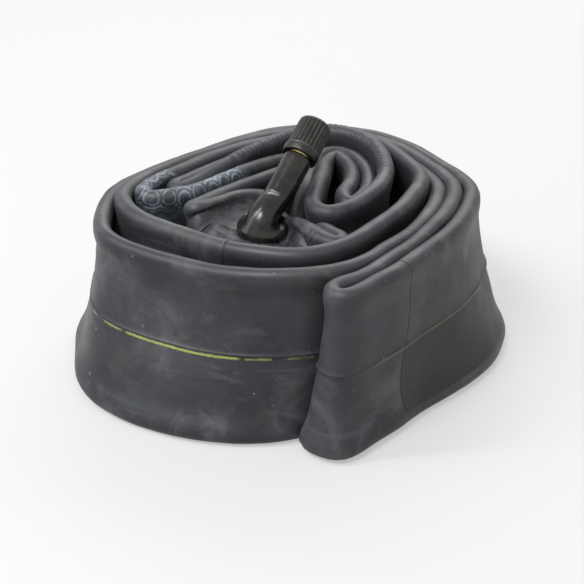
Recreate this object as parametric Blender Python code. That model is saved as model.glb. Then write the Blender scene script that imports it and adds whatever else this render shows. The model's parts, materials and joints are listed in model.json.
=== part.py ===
"""Rolled bicycle inner tube with a screw-capped air valve. Metres, +Z up, front toward -Y."""

import math

import bmesh
import bpy
from mathutils import Matrix, Vector

MM = 0.001

# Tube: a flattened ring of rubber, folded double and rolled up
HALF_WIDTH = 23.2 * MM
RIM_RADIUS = 1.8 * MM
WALL = 0.9 * MM
BASE_HALF = 0.6 * MM
PRESSED_BELOW = 0.3 * MM
CENTRE_SHIFT = Vector((0.16, -11.28, 0.0)) * MM

# Valve: distances S are along its axis, from the middle of the rubber foot
FIT_GAP = 0.3 * MM
AXIS_BEARING_DEG = 58.3
AXIS_RISE_DEG = 34.2
FOOT_ACROSS = 0.12
FOOT_REACH = 8.0 * MM
FOOT_RADIUS = 6.2 * MM
FOOT_THICKNESS = 1.3 * MM
NECK_RADIUS = 4.6 * MM
STEM_RADIUS = 4.15 * MM
BEND_END = 9.0 * MM
BEND_LEAD = 0.45
RUBBER_END = 23.7 * MM
AIR_BORE = 1.4 * MM
AIR_HOLE = 1.2 * MM
AIR_HOLE_DEPTH = 3.4 * MM
INSERT_START = 11.0 * MM
INSERT_RADIUS = 3.0 * MM
INSERT_BORE = 1.9 * MM
CORE_SEAT = 19.4 * MM
CORE_BORE = 2.3 * MM
CORE_THREAD_START = 27.9 * MM
CORE_THREAD_BORE = 2.6 * MM
THREAD_START = 24.2 * MM
THREAD_RADIUS = 3.85 * MM
INSERT_END = 33.6 * MM
CAP_START = 24.0 * MM
CAP_END = 36.2 * MM
CAP_TOP = 1.1 * MM
CAP_COLLAR_RADIUS = 5.3 * MM
CAP_GRIP_RADIUS = 5.1 * MM
CAP_COLLAR_END = 26.2 * MM
CAP_RIB_DEPTH = 0.3 * MM
CAP_EDGE = 0.9 * MM
CAP_CLEARANCE = 0.4 * MM
CAP_RIBS = 24

# Valve core
CORE_RADIUS = 2.0 * MM
BARREL_START = 19.3 * MM
BARREL_END = 27.6 * MM
BARREL_NECK = 1.25 * MM
BARREL_WELL = 1.5 * MM
BARREL_SHOULDER = 22.3 * MM
GASKET_START = 20.2 * MM
GASKET_END = 21.8 * MM
PIN_RADIUS = 0.5 * MM
PIN_END = 33.2 * MM
PIN_START = 16.0 * MM
PIN_HEAD = 0.9 * MM
PIN_HEAD_DEPTH = 0.35 * MM
PIN_COLLAR = 1.1 * MM
PIN_COLLAR_AT = 26.6 * MM
PIN_COLLAR_DEPTH = 0.5 * MM
PIN_FOOT = 1.1 * MM
PIN_FOOT_DEPTH = 0.6 * MM
SWIVEL_START = 28.1 * MM
SWIVEL_NECK_AT = 30.4 * MM
SWIVEL_END = 31.6 * MM
SWIVEL_RADIUS = 2.3 * MM
SWIVEL_NECK = 1.5 * MM
CUP_START = 17.0 * MM
CUP_FLOOR = 0.4 * MM
CUP_RIM = 18.3 * MM
CUP_RADIUS = 1.6 * MM
CUP_INNER = 1.3 * MM
SEAL_END = 19.0 * MM
SPRING_RADIUS = 0.98 * MM
SPRING_WIRE = 0.18 * MM
SPRING_TURNS = 5

FINE = 24
SMALL = 16
BARREL_SIDES = 20

# Top edge of each strand in plan, mm: x, y, lean of upper half, lean of lower half, lift off table.
# The lean is to the right of the way of travel.
OUTER_LAP = (
    (10.5, -47.0, 2.7, 3.7, 0.6),
    (12.6, -50.3, 1.6, 2.0, 0.5),
    (16.5, -49.0, 0.8, 1.0, 0.5),
    (21.8, -43.2, 0.7, 0.8, 0.5),
    (27.3, -37.2, 0.7, 0.8, 0.5),
    (32.2, -30.5, 0.8, 1.0, 0.5),
    (39.5, -19.5, 1.8, 2.6, 0.5),
    (45.5, -8.5, 3.0, 4.6, 0.5),
    (48.7, 0.0, 3.8, 5.8, 0.5),
    (51.0, 8.0, 4.0, 6.0, 0.5),
    (52.2, 16.0, 4.2, 6.2, 0.4),
    (51.2, 22.5, 4.2, 6.2, 0.3),
    (48.8, 28.5, 4.2, 6.2, 0.2),
    (45.8, 34.0, 4.4, 6.4, 0.0),
    (42.2, 40.5, 4.6, 6.6, 0.0),
    (38.2, 47.4, 4.8, 6.8, 0.0),
    (33.6, 53.2, 5.0, 7.0, 0.0),
    (27.8, 58.0, 5.0, 7.0, 0.0),
    (21.0, 61.6, 5.0, 7.0, 0.0),
    (13.8, 63.8, 5.0, 7.0, 0.0),
    (6.0, 64.6, 5.0, 7.0, 0.0),
    (-2.0, 63.4, 5.0, 7.0, 0.0),
    (-9.5, 60.0, 5.0, 7.0, 0.0),
    (-17.5, 54.7, 5.2, 7.4, 0.0),
    (-25.3, 48.2, 5.4, 7.8, 0.0),
    (-33.2, 41.0, 5.6, 8.0, 0.0),
    (-41.0, 33.4, 5.6, 8.0, 0.0),
    (-47.3, 25.3, 5.2, 7.6, 0.0),
    (-51.3, 17.4, 4.6, 6.8, 0.0),
    (-53.0, 10.0, 4.0, 6.0, 0.0),
    (-53.5, 2.0, 3.4, 5.2, 0.0),
    (-53.2, -6.0, 3.2, 5.0, 0.0),
    (-50.6, -13.4, 3.6, 5.6, 0.0),
    (-44.4, -18.9, 4.4, 7.4, 0.0),
    (-38.4, -22.6, 4.6, 8.6, 0.0),
    (-31.2, -26.6, 4.6, 9.0, 0.0),
    (-22.8, -31.6, 4.2, 8.2, 0.0),
    (-11.6, -36.0, 3.2, 6.2, 0.0),
    (2.0, -37.6, 1.8, 2.8, 0.0),
    (9.0, -36.4, 0.9, 1.0, 0.0),
    (14.6, -33.6, 0.6, 0.6, 0.0),
    (20.7, -28.8, 0.6, 0.6, 0.0),
    (25.4, -22.8, 0.6, 0.6, 0.0),
    (30.2, -16.8, 0.7, 0.8, 0.0),
    (34.8, -9.5, 0.9, 1.0, 0.0),
    (38.2, -2.0, 1.2, 1.4, 0.0),
    (40.4, 4.0, 1.4, 1.8, 0.0),
    (41.8, 9.5, 1.6, 2.2, 0.0),
    (42.5, 14.8, 1.8, 2.4, 0.0),
    (41.8, 20.4, 2.0, 2.6, 0.0),
    (39.4, 26.4, 2.0, 2.8, 0.0),
    (37.0, 31.6, 2.2, 3.0, 0.0),
    (34.2, 36.9, 2.4, 3.2, 0.0),
    (31.2, 42.0, 2.6, 3.4, 0.0),
    (27.6, 46.8, 2.6, 3.6, 0.0),
    (22.6, 51.0, 2.6, 3.6, 0.0),
    (16.6, 54.2, 2.6, 3.6, 0.0),
    (10.6, 55.9, 2.6, 3.6, 0.0),
    (4.2, 56.2, 2.6, 3.6, 0.0),
    (-2.0, 54.2, 2.6, 3.6, 0.0),
    (-7.4, 51.2, 2.6, 3.6, 0.4),
    (-14.0, 46.2, 2.6, 3.6, 1.0),
    (-20.8, 40.2, 2.6, 3.6, 1.4),
    (-27.5, 33.4, 2.6, 3.6, 1.5),
    (-33.2, 26.8, 2.4, 3.2, 1.5),
    (-38.6, 21.6, 2.0, 2.6, 1.2),
    (-42.2, 17.2, 1.4, 1.8, 0.8),
    (-43.2, 12.8, 0.9, 1.2, 0.6),
    (-40.6, 9.8, 0.2, 0.4, 0.6),
    (-35.8, 10.4, 0.0, 0.0, 0.8),
    (-30.6, 12.0, 0.0, 0.0, 1.0),
    (-25.6, 14.8, 0.0, 0.0, 1.3),
    (-21.2, 18.8, 0.0, 0.0, 1.5),
    (-17.0, 23.2, 0.0, 0.0, 1.5),
    (-12.4, 28.2, 0.0, 0.0, 1.5),
    (-7.2, 32.9, 0.0, 0.0, 1.2),
    (-2.2, 36.3, 0.0, 0.0, 0.8),
    (1.3, 36.8, 0.0, 0.0, 0.5),
    (2.4, 34.2, 0.0, 0.0, 0.3),
    (-0.2, 31.2, 0.0, 0.0, 0.0),
    (-5.6, 26.7, 0.0, 0.0, 0.0),
    (-11.2, 21.7, 0.0, 0.0, 0.0),
    (-16.4, 16.8, 0.0, 0.0, 0.0),
    (-21.2, 12.0, 0.0, 0.0, 0.0),
    (-25.6, 7.2, 0.0, 0.0, 0.0),
)
# The strand that carries the valve lies over on its side, mm: top edge, middle, knee, bottom edge.
VALVE_STRAND = (
    ((-28.0, 4.2, 48.2), (-28.3, 3.6, 29.0), (-28.3, 3.4, 21.6), (-28.3, 3.2, 4.6)),
    ((-27.8, 1.4, 48.8), (-29.2, -0.6, 36.0), (-29.2, -1.6, 28.8), (-28.8, -2.6, 11.5)),
    ((-25.0, 2.2, 49.0), (-26.6, -2.2, 42.2), (-26.8, -4.4, 36.6), (-26.4, -6.6, 18.6)),
    ((-21.4, 5.6, 48.8), (-22.8, -1.2, 44.2), (-23.2, -4.2, 43.4), (-23.4, -9.4, 22.4)),
    ((-17.2, 10.4, 48.2), (-18.6, -1.6, 42.9), (-19.2, -6.4, 42.6), (-20.0, -13.2, 22.6)),
    ((-12.4, 14.8, 46.8), (-14.0, -3.0, 42.0), (-14.6, -8.4, 42.2), (-15.8, -15.6, 22.2)),
    ((-7.4, 17.2, 44.8), (-8.8, -4.8, 41.5), (-9.4, -10.2, 41.8), (-10.4, -17.4, 21.6)),
    ((-3.8, 13.6, 43.8), (-5.2, -6.4, 41.3), (-5.6, -11.4, 41.4), (-6.4, -18.2, 21.2)),
    ((-1.8, 7.6, 43.4), (-2.0, -8.0, 41.2), (-2.4, -12.6, 41.0), (-3.0, -18.8, 20.8)),
    ((-0.4, 1.2, 44.8), (0.4, -10.0, 42.4), (0.2, -14.0, 41.0), (0.0, -19.4, 20.6)),
    ((1.6, -4.8, 47.2), (2.4, -12.8, 43.4), (2.2, -15.8, 41.0), (2.4, -20.0, 20.2)),
    ((4.2, -10.4, 48.0), (4.8, -14.8, 41.6), (4.8, -17.2, 38.2), (5.0, -20.8, 18.4)),
    ((6.4, -14.4, 48.4), (6.8, -16.8, 36.0), (7.0, -18.8, 30.4), (7.6, -21.4, 12.6)),
    ((8.6, -17.6, 48.6), (8.8, -19.0, 29.0), (9.2, -20.4, 22.0), (9.8, -22.2, 5.6)),
)
VALVE_FRAME = 6
INNER_LAP = (
    (12.2, -20.2, 0.6, 0.8, 0.6),
    (13.4, -17.6, 0.6, 0.6, 0.5),
    (11.2, -14.6, 0.0, 0.0, 0.3),
    (8.4, -10.8, -2.0, 2.0, 0.2),
    (4.8, -6.6, -10.0, 9.5, 0.0),
    (2.5, -2.2, -14.0, 12.5, 0.0),
    (2.4, 4.0, -13.6, 12.1, 0.0),
    (2.9, 10.6, -9.8, 8.8, 0.0),
    (4.2, 18.2, -4.0, 4.0, 0.0),
    (5.4, 26.0, 0.0, 0.0, 0.0),
    (6.6, 33.4, 0.0, 0.0, 0.5),
    (9.0, 38.8, 0.0, 0.0, 1.0),
    (13.2, 40.6, 0.0, 0.0, 1.3),
    (17.8, 37.4, 0.0, 0.0, 1.5),
    (20.9, 30.8, 0.0, 0.0, 1.5),
    (22.4, 22.6, 0.0, 0.0, 1.5),
    (22.0, 14.0, 0.0, 0.0, 1.2),
    (19.6, 7.8, 0.0, 0.0, 1.0),
    (16.4, 4.8, 0.0, 0.0, 1.0),
    (14.9, 7.4, 0.0, 0.0, 1.4),
    (16.6, 14.2, 0.0, 0.0, 2.0),
    (17.5, 21.8, 0.0, 0.0, 2.6),
    (15.9, 28.6, 0.0, 0.0, 3.0),
    (13.0, 32.6, 0.0, 0.0, 3.0),
    (10.4, 29.4, 0.0, 0.0, 3.0),
    (9.2, 21.4, 0.0, 0.0, 3.0),
    (7.5, 12.6, 0.0, 0.0, 3.0),
    (6.1, 4.8, 0.0, 0.0, 3.0),
    (6.3, -2.2, 0.0, 0.0, 3.0),
    (9.6, -6.0, 0.0, 0.0, 3.2),
    (14.0, -5.0, 0.0, 0.0, 3.5),
    (18.4, -1.4, 0.0, 0.0, 4.0),
    (22.4, 3.8, 0.0, 0.0, 4.4),
    (25.4, 9.8, 0.0, 0.0, 4.8),
    (27.1, 16.2, 0.0, 0.0, 5.2),
    (27.2, 23.2, 0.0, 0.0, 5.5),
    (26.2, 30.0, 0.0, 0.0, 5.8),
    (24.2, 36.0, 0.0, 0.0, 6.0),
    (21.2, 41.0, 0.0, 0.0, 6.0),
    (17.0, 44.8, 0.2, 0.4, 6.0),
    (11.8, 47.0, 0.3, 0.6, 5.8),
    (5.8, 47.2, 0.4, 0.8, 5.5),
    (0.0, 44.8, 0.4, 0.8, 5.2),
    (-5.6, 40.4, 0.4, 0.8, 5.0),
    (-11.0, 35.4, 0.3, 0.6, 4.6),
    (-16.0, 30.4, 0.2, 0.4, 4.0),
    (-20.8, 25.4, 0.0, 0.2, 3.0),
    (-25.2, 21.0, 0.0, 0.0, 2.0),
    (-29.2, 17.8, 0.0, 0.0, 1.0),
    (-33.2, 16.2, 0.0, 0.0, 0.4),
    (-34.4, 18.6, -0.4, -0.6, 0.0),
    (-32.0, 21.6, -0.4, -0.8, 0.0),
    (-27.8, 26.0, -0.6, -1.0, 0.0),
    (-22.6, 31.8, -0.8, -1.2, 0.0),
    (-16.8, 37.8, -1.0, -1.4, 0.0),
    (-11.0, 43.2, -1.2, -1.8, 0.0),
    (-5.8, 47.6, -1.4, -2.0, 0.0),
    (-1.0, 50.5, -1.4, -2.2, 0.0),
    (4.4, 51.9, -1.4, -2.2, 0.2),
    (9.8, 51.7, -1.4, -2.2, 0.8),
    (15.0, 50.2, -1.4, -2.2, 1.6),
    (20.3, 47.3, -1.4, -2.2, 2.6),
    (25.0, 43.2, -1.4, -2.2, 3.6),
    (28.4, 38.6, -1.4, -2.2, 4.0),
    (31.0, 33.6, -1.4, -2.2, 4.0),
    (33.5, 28.6, -1.3, -2.0, 3.8),
    (35.9, 23.4, -1.2, -1.8, 3.5),
    (37.5, 18.0, -1.1, -1.6, 3.2),
    (36.8, 12.4, -1.0, -1.4, 3.0),
    (34.6, 6.6, -0.8, -1.2, 2.8),
    (31.8, 0.2, -0.6, -1.0, 2.6),
    (27.4, -7.6, -0.4, -0.6, 2.5),
    (22.6, -14.6, -0.3, -0.3, 2.5),
    (17.8, -21.4, -0.3, -0.3, 2.5),
    (13.2, -25.8, -0.5, -0.6, 2.5),
    (8.0, -29.0, -0.9, -1.2, 2.5),
    (1.6, -30.8, -1.4, -2.2, 2.5),
    (-6.2, -29.6, -2.2, -3.6, 2.5),
    (-14.6, -26.6, -2.8, -4.8, 2.5),
    (-22.6, -21.6, -3.0, -5.4, 2.4),
    (-31.0, -15.4, -3.0, -5.4, 2.2),
    (-38.0, -9.8, -2.8, -5.0, 2.0),
    (-44.0, -3.6, -2.4, -4.0, 1.8),
    (-47.4, 3.2, -2.2, -3.4, 1.6),
    (-48.6, 9.6, -2.4, -3.6, 1.5),
    (-47.0, 16.0, -2.8, -4.2, 1.5),
    (-43.2, 23.0, -3.4, -5.0, 1.5),
    (-37.2, 30.4, -3.8, -5.6, 1.5),
    (-29.8, 37.6, -3.8, -5.6, 1.5),
    (-22.2, 44.4, -3.6, -5.4, 1.3),
    (-15.0, 50.6, -3.6, -5.4, 1.0),
    (-8.0, 55.8, -3.6, -5.4, 0.6),
    (-1.2, 59.0, -3.6, -5.4, 0.3),
    (5.6, 60.4, -3.6, -5.4, 0.2),
    (12.6, 59.8, -3.6, -5.4, 0.2),
    (19.4, 57.6, -3.6, -5.4, 0.2),
    (25.6, 54.2, -3.6, -5.4, 0.2),
    (30.8, 50.0, -3.6, -5.4, 0.2),
    (35.0, 44.8, -3.6, -5.2, 0.2),
    (38.4, 39.0, -3.4, -5.0, 0.2),
    (41.4, 33.2, -3.2, -4.6, 0.2),
    (44.2, 27.6, -3.0, -4.4, 0.3),
    (46.4, 21.8, -3.0, -4.2, 0.4),
    (47.2, 15.6, -2.8, -4.0, 0.5),
    (46.4, 9.4, -2.6, -3.8, 0.5),
    (44.6, 2.6, -2.2, -3.2, 0.5),
    (41.4, -5.4, -1.6, -2.2, 0.5),
    (37.0, -13.6, -0.9, -1.2, 0.5),
    (32.0, -22.6, -0.5, -0.6, 0.5),
    (26.6, -29.8, -0.4, -0.4, 0.5),
    (21.8, -36.2, -0.4, -0.4, 0.5),
    (17.2, -41.2, -0.2, -0.3, 0.5),
    (12.8, -44.0, 0.8, 1.2, 0.5),
)

# Section of the tube: how far across the half width, and half of its thickness there.
SECTION = ((-0.94, 1.8), (-0.6, 1.2), (-0.25, 1.1), (0.0, 1.1), (0.55, 1.2), (0.94, 1.8))
LUMEN = ((-0.92, 0.9), (-0.6, 0.3), (-0.25, 0.25), (0.0, 0.25), (0.55, 0.3), (0.92, 0.9))
VALVE_SWELL = 0.8 * MM
VALVE_SWELL_STATIONS = 3.0
VALVE_SWELL_ACROSS = 0.7
KNEE_AT = 0.25

OBJECT = bpy.data.collections.new("inner_tube")
CUTTERS = bpy.data.collections.new("cutters")


def clear_scene():
    for obj in list(bpy.data.objects):
        bpy.data.objects.remove(obj, do_unlink=True)
    bpy.context.scene.collection.children.link(OBJECT)
    bpy.context.scene.collection.children.link(CUTTERS)


def material(name, colour, roughness, metallic=0.0):
    made = bpy.data.materials.new(name)
    made.use_nodes = True
    shader = made.node_tree.nodes["Principled BSDF"]
    shader.inputs["Base Color"].default_value = (*colour, 1.0)
    shader.inputs["Roughness"].default_value = roughness
    shader.inputs["Metallic"].default_value = metallic
    made.diffuse_color = (*colour, 1.0)
    return made


def add_object(name, bm, skin, matrix=None, collection=None):
    bmesh.ops.recalc_face_normals(bm, faces=bm.faces)
    mesh = bpy.data.meshes.new(name)
    bm.to_mesh(mesh)
    bm.free()
    obj = bpy.data.objects.new(name, mesh)
    (collection or OBJECT).objects.link(obj)
    if skin is not None:
        mesh.materials.append(skin)
    if matrix is not None:
        obj.matrix_world = matrix
    return obj


def side(before, after):
    """Level direction to the right of the way from one point to another."""
    way = after - before
    return Vector((way.y, -way.x, 0.0)).normalized()


def regular_frame(points, index):
    x, y, upper, lower, lift = points[index]
    before = Vector(points[index - 1][:2]).to_3d()
    after = Vector(points[(index + 1) % len(points)][:2]).to_3d()
    out = side(before, after)
    half = HALF_WIDTH / MM
    upper_rise = math.sqrt(half**2 - upper**2)
    lower_rise = math.sqrt(half**2 - lower**2)
    bottom_z = RIM_RADIUS / MM + lift
    top = Vector((x, y, bottom_z + lower_rise + upper_rise))
    middle = Vector((x, y, bottom_z + lower_rise)) + out * upper
    bottom = Vector((x, y, bottom_z)) + out * (upper + lower)
    knee = middle.lerp(bottom, KNEE_AT)
    return tuple(point * MM + CENTRE_SHIFT for point in (top, middle, knee, bottom))


def tube_frames():
    """Top edge, middle, knee and bottom edge at each station, once round the ring."""
    valve_tops = tuple((*frame[0][:2], 0, 0, 0) for frame in VALVE_STRAND)
    ring = OUTER_LAP + valve_tops + INNER_LAP
    first = len(OUTER_LAP)
    last = first + len(VALVE_STRAND)
    frames = []
    for index in range(len(ring)):
        if first <= index < last:
            corners = VALVE_STRAND[index - first]
            frames.append(tuple(Vector(c) * MM + CENTRE_SHIFT for c in corners))
        else:
            frames.append(regular_frame(ring, index))
    return frames


def on_section(frame, across):
    top, middle, knee, bottom = frame
    if across >= 0.0:
        return middle.lerp(top, across)
    if across >= -KNEE_AT:
        return middle.lerp(knee, -across / KNEE_AT)
    return knee.lerp(bottom, (-across - KNEE_AT) / (1.0 - KNEE_AT))


def section_ring(frames, index, stations, tip, swell, base_half=0.0):
    """Closed outline of the flattened section: up the right side and down the left."""
    frame = frames[index]
    before = frames[index - 1]
    after = frames[(index + 1) % len(frames)]
    right = []
    left = []
    for across, half in stations:
        centre = on_section(frame, across)
        way = on_section(after, across) - on_section(before, across)
        width = on_section(frame, min(across + 0.1, 1.0)) - on_section(frame, max(across - 0.1, -1.0))
        normal = way.cross(width).normalized()
        thick = half * MM + (swell if abs(across) < VALVE_SWELL_ACROSS else 0.0)
        right.append(centre + normal * thick)
        left.append(centre - normal * thick)
    top_way = (frame[0] - frame[1]).normalized()
    bottom_way = (frame[3] - frame[2]).normalized()
    base = frame[3] + bottom_way * tip
    ring = right + [frame[0] + top_way * tip] + left[::-1]
    if base_half:
        across_base = (right[0] - left[0]).normalized() * base_half
        return ring + [pressed(base - across_base), pressed(base + across_base)]
    return ring + [base]


def pressed(point):
    """The lower edge lies flat on the table where it touches it."""
    return Vector((point.x, point.y, 0.0)) if point.z < PRESSED_BELOW else point


def add_skin(bm, rings):
    rows = [[bm.verts.new(point) for point in ring] for ring in rings]
    count = len(rows[0])
    for index, row in enumerate(rows):
        following = rows[(index + 1) % len(rows)]
        for corner in range(count):
            other = (corner + 1) % count
            bm.faces.new((row[corner], row[other], following[other], following[corner]))


def swell_at(index, centre):
    return VALVE_SWELL * max(0.0, 1.0 - abs(index - centre) / VALVE_SWELL_STATIONS)


def build_tube(frames, skin):
    centre = len(OUTER_LAP) + VALVE_FRAME
    bm = bmesh.new()
    outer = [
        section_ring(frames, i, SECTION, RIM_RADIUS, swell_at(i, centre), BASE_HALF)
        for i in range(len(frames))
    ]
    add_skin(bm, outer)
    bmesh.ops.recalc_face_normals(bm, faces=bm.faces)
    inner_bm = bmesh.new()
    inner = [
        section_ring(frames, i, LUMEN, RIM_RADIUS - WALL, swell_at(i, centre))
        for i in range(len(frames))
    ]
    add_skin(inner_bm, inner)
    bmesh.ops.recalc_face_normals(inner_bm, faces=inner_bm.faces)
    bmesh.ops.reverse_faces(inner_bm, faces=inner_bm.faces)
    lumen = bpy.data.meshes.new("lumen")
    inner_bm.to_mesh(lumen)
    inner_bm.free()
    bm.from_mesh(lumen)
    mesh = bpy.data.meshes.new("tube_body")
    bm.to_mesh(mesh)
    bm.free()
    tube = bpy.data.objects.new("tube_body", mesh)
    OBJECT.objects.link(tube)
    mesh.materials.append(skin)
    return tube


def foot_matrix(frames, tube):
    """Frame of the flat where the rubber foot sits, just clear of the tube: its Z is square to it."""
    here = len(OUTER_LAP) + VALVE_FRAME
    along = on_section(frames[here + 1], 0.1) - on_section(frames[here - 1], 0.1)
    across = on_section(frames[here], 0.5) - on_section(frames[here], 0.0)
    up = along.cross(across).normalized()
    if up.z < 0.0:
        up.negate()
    x_way = along.normalized()
    y_way = up.cross(x_way).normalized()
    middle = on_section(frames[here], FOOT_ACROSS)
    heights = []
    for vert in tube.data.vertices:
        offset = vert.co - middle
        height = offset.dot(up)
        if (offset - up * height).length < FOOT_REACH and abs(height) < FOOT_REACH / 2.0:
            heights.append(height)
    origin = middle + up * (max(heights) + FIT_GAP)
    turn = Matrix((x_way, y_way, up)).transposed().to_4x4()
    return Matrix.Translation(origin) @ turn


def axis_way():
    rise = math.radians(AXIS_RISE_DEG)
    bearing = math.radians(AXIS_BEARING_DEG)
    level = math.cos(rise)
    return Vector((level * math.cos(bearing), level * math.sin(bearing), math.sin(rise)))


def axis_matrix(origin):
    """Z along the valve axis, X level."""
    z_way = axis_way()
    x_way = z_way.cross(Vector((0.0, 0.0, 1.0))).normalized()
    y_way = z_way.cross(x_way)
    return Matrix.Translation(origin) @ Matrix((x_way, y_way, z_way)).transposed().to_4x4()


def cut_air_hole(tube, foot):
    bm = bmesh.new()
    length = AIR_HOLE_DEPTH + 1.0 * MM
    bmesh.ops.create_cone(
        bm, cap_ends=True, segments=12, radius1=AIR_HOLE, radius2=AIR_HOLE, depth=length
    )
    drop = Matrix.Translation((0.0, 0.0, length / 2.0 - AIR_HOLE_DEPTH))
    cutter = add_object("air_hole_cutter", bm, None, foot @ drop, CUTTERS)
    cutter.hide_render = True
    cutter.display_type = "WIRE"
    cut = tube.modifiers.new("air_hole", "BOOLEAN")
    cut.operation = "DIFFERENCE"
    cut.solver = "EXACT"
    cut.object = cutter


def ring_points(centre, way, radius, across):
    """Level-started circle of points, square to its way."""
    x_way = (across - way * across.dot(way)).normalized()
    y_way = way.cross(x_way)
    points = []
    for step in range(FINE):
        angle = 2.0 * math.pi * step / FINE
        points.append(centre + (x_way * math.cos(angle) + y_way * math.sin(angle)) * radius)
    return points


def bent_centre(foot, distance):
    """Point and way on the stem's centre line, which leaves the foot square and bends to the axis."""
    origin = foot.translation
    start = foot.to_3x3() @ Vector((0.0, 0.0, 1.0))
    finish = axis_way()
    if distance >= BEND_END:
        return origin + finish * distance, finish
    part = distance / BEND_END
    lead = origin + start * (BEND_END * BEND_LEAD)
    end = origin + finish * BEND_END
    point = origin * (1 - part) ** 2 + lead * (2 * part * (1 - part)) + end * part**2
    way = ((lead - origin) * (1 - part) + (end - lead) * part).normalized()
    return point, way


def build_stem_rubber(foot, skin):
    across = foot.to_3x3() @ Vector((1.0, 0.0, 0.0))
    neck = (
        (0.0, FOOT_RADIUS),
        (0.6 * MM, FOOT_RADIUS),
        (FOOT_THICKNESS, NECK_RADIUS + 0.6 * MM),
        (2.6 * MM, NECK_RADIUS),
        (5.0 * MM, STEM_RADIUS + 0.15 * MM),
        (BEND_END, STEM_RADIUS),
        (RUBBER_END, STEM_RADIUS),
    )
    bore = (
        (RUBBER_END, INSERT_RADIUS + FIT_GAP),
        (INSERT_START - FIT_GAP, INSERT_RADIUS + FIT_GAP),
        (INSERT_START - FIT_GAP, AIR_BORE),
        (BEND_END, AIR_BORE),
        (5.0 * MM, AIR_BORE),
        (2.6 * MM, AIR_BORE),
        (0.0, AIR_BORE),
    )
    rings = []
    for distance, radius in neck + bore:
        centre, way = bent_centre(foot, distance)
        rings.append(ring_points(centre, way, radius, across))
    bm = bmesh.new()
    add_skin(bm, rings)
    return add_object("valve_stem_rubber", bm, skin)


def turned(name, profile, skin, matrix, steps=SMALL, closed=True):
    """Solid spun about the axis from a profile of (radius, distance) points."""
    bm = bmesh.new()
    points = [bm.verts.new((radius, 0.0, distance)) for radius, distance in profile]
    edges = [bm.edges.new(pair) for pair in zip(points, points[1:])]
    if closed:
        edges.append(bm.edges.new((points[-1], points[0])))
    bmesh.ops.spin(
        bm,
        geom=points + edges,
        cent=(0.0, 0.0, 0.0),
        axis=(0.0, 0.0, 1.0),
        angle=2.0 * math.pi,
        steps=steps,
        use_merge=True,
    )
    bmesh.ops.remove_doubles(bm, verts=bm.verts, dist=0.001 * MM)
    return add_object(name, bm, skin, matrix)


def hollow(outer, inner):
    """Closed profile from outer points, top to bottom, and inner points, bottom to top."""
    return tuple(outer) + tuple(inner)


def build_insert(skin, axis):
    outer = (
        (THREAD_RADIUS - 0.5 * MM, INSERT_END),
        (THREAD_RADIUS, INSERT_END - 0.5 * MM),
        (THREAD_RADIUS, THREAD_START),
        (INSERT_RADIUS, RUBBER_END),
        (INSERT_RADIUS, INSERT_START),
    )
    inner = (
        (INSERT_BORE, INSERT_START),
        (INSERT_BORE, CORE_SEAT - 0.6 * MM),
        (CORE_BORE, CORE_SEAT),
        (CORE_BORE, CORE_THREAD_START - 0.3 * MM),
        (CORE_THREAD_BORE, CORE_THREAD_START),
        (CORE_THREAD_BORE, INSERT_END),
    )
    return turned("valve_stem_brass", hollow(outer, inner), skin, axis, FINE)


def build_cap(skin, axis):
    grip = CAP_GRIP_RADIUS
    outer = (
        (0.0, CAP_END),
        (grip - CAP_EDGE, CAP_END),
        (grip, CAP_END - CAP_EDGE),
        (grip, CAP_COLLAR_END + 0.4 * MM),
        (CAP_COLLAR_RADIUS, CAP_COLLAR_END),
        (CAP_COLLAR_RADIUS, CAP_START + 0.3 * MM),
        (CAP_COLLAR_RADIUS - 0.3 * MM, CAP_START),
        (THREAD_RADIUS + CAP_CLEARANCE, CAP_START),
        (THREAD_RADIUS + CAP_CLEARANCE, CAP_END - CAP_TOP),
        (0.0, CAP_END - CAP_TOP),
    )
    return turned("dust_cap", outer, skin, axis, 2 * CAP_RIBS, closed=False)


def rib_cap(cap):
    """Shallow grooves between the grip ribs: every other column of the grip is drawn in."""
    low = CAP_COLLAR_END + 0.2 * MM
    for vert in cap.data.vertices:
        radius = math.hypot(vert.co.x, vert.co.y)
        column = round(math.atan2(vert.co.y, vert.co.x) * CAP_RIBS / math.pi)
        if vert.co.z > low and radius > CAP_GRIP_RADIUS - 0.2 * MM and column % 2:
            scale = (radius - CAP_RIB_DEPTH) / radius
            vert.co.x *= scale
            vert.co.y *= scale


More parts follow.
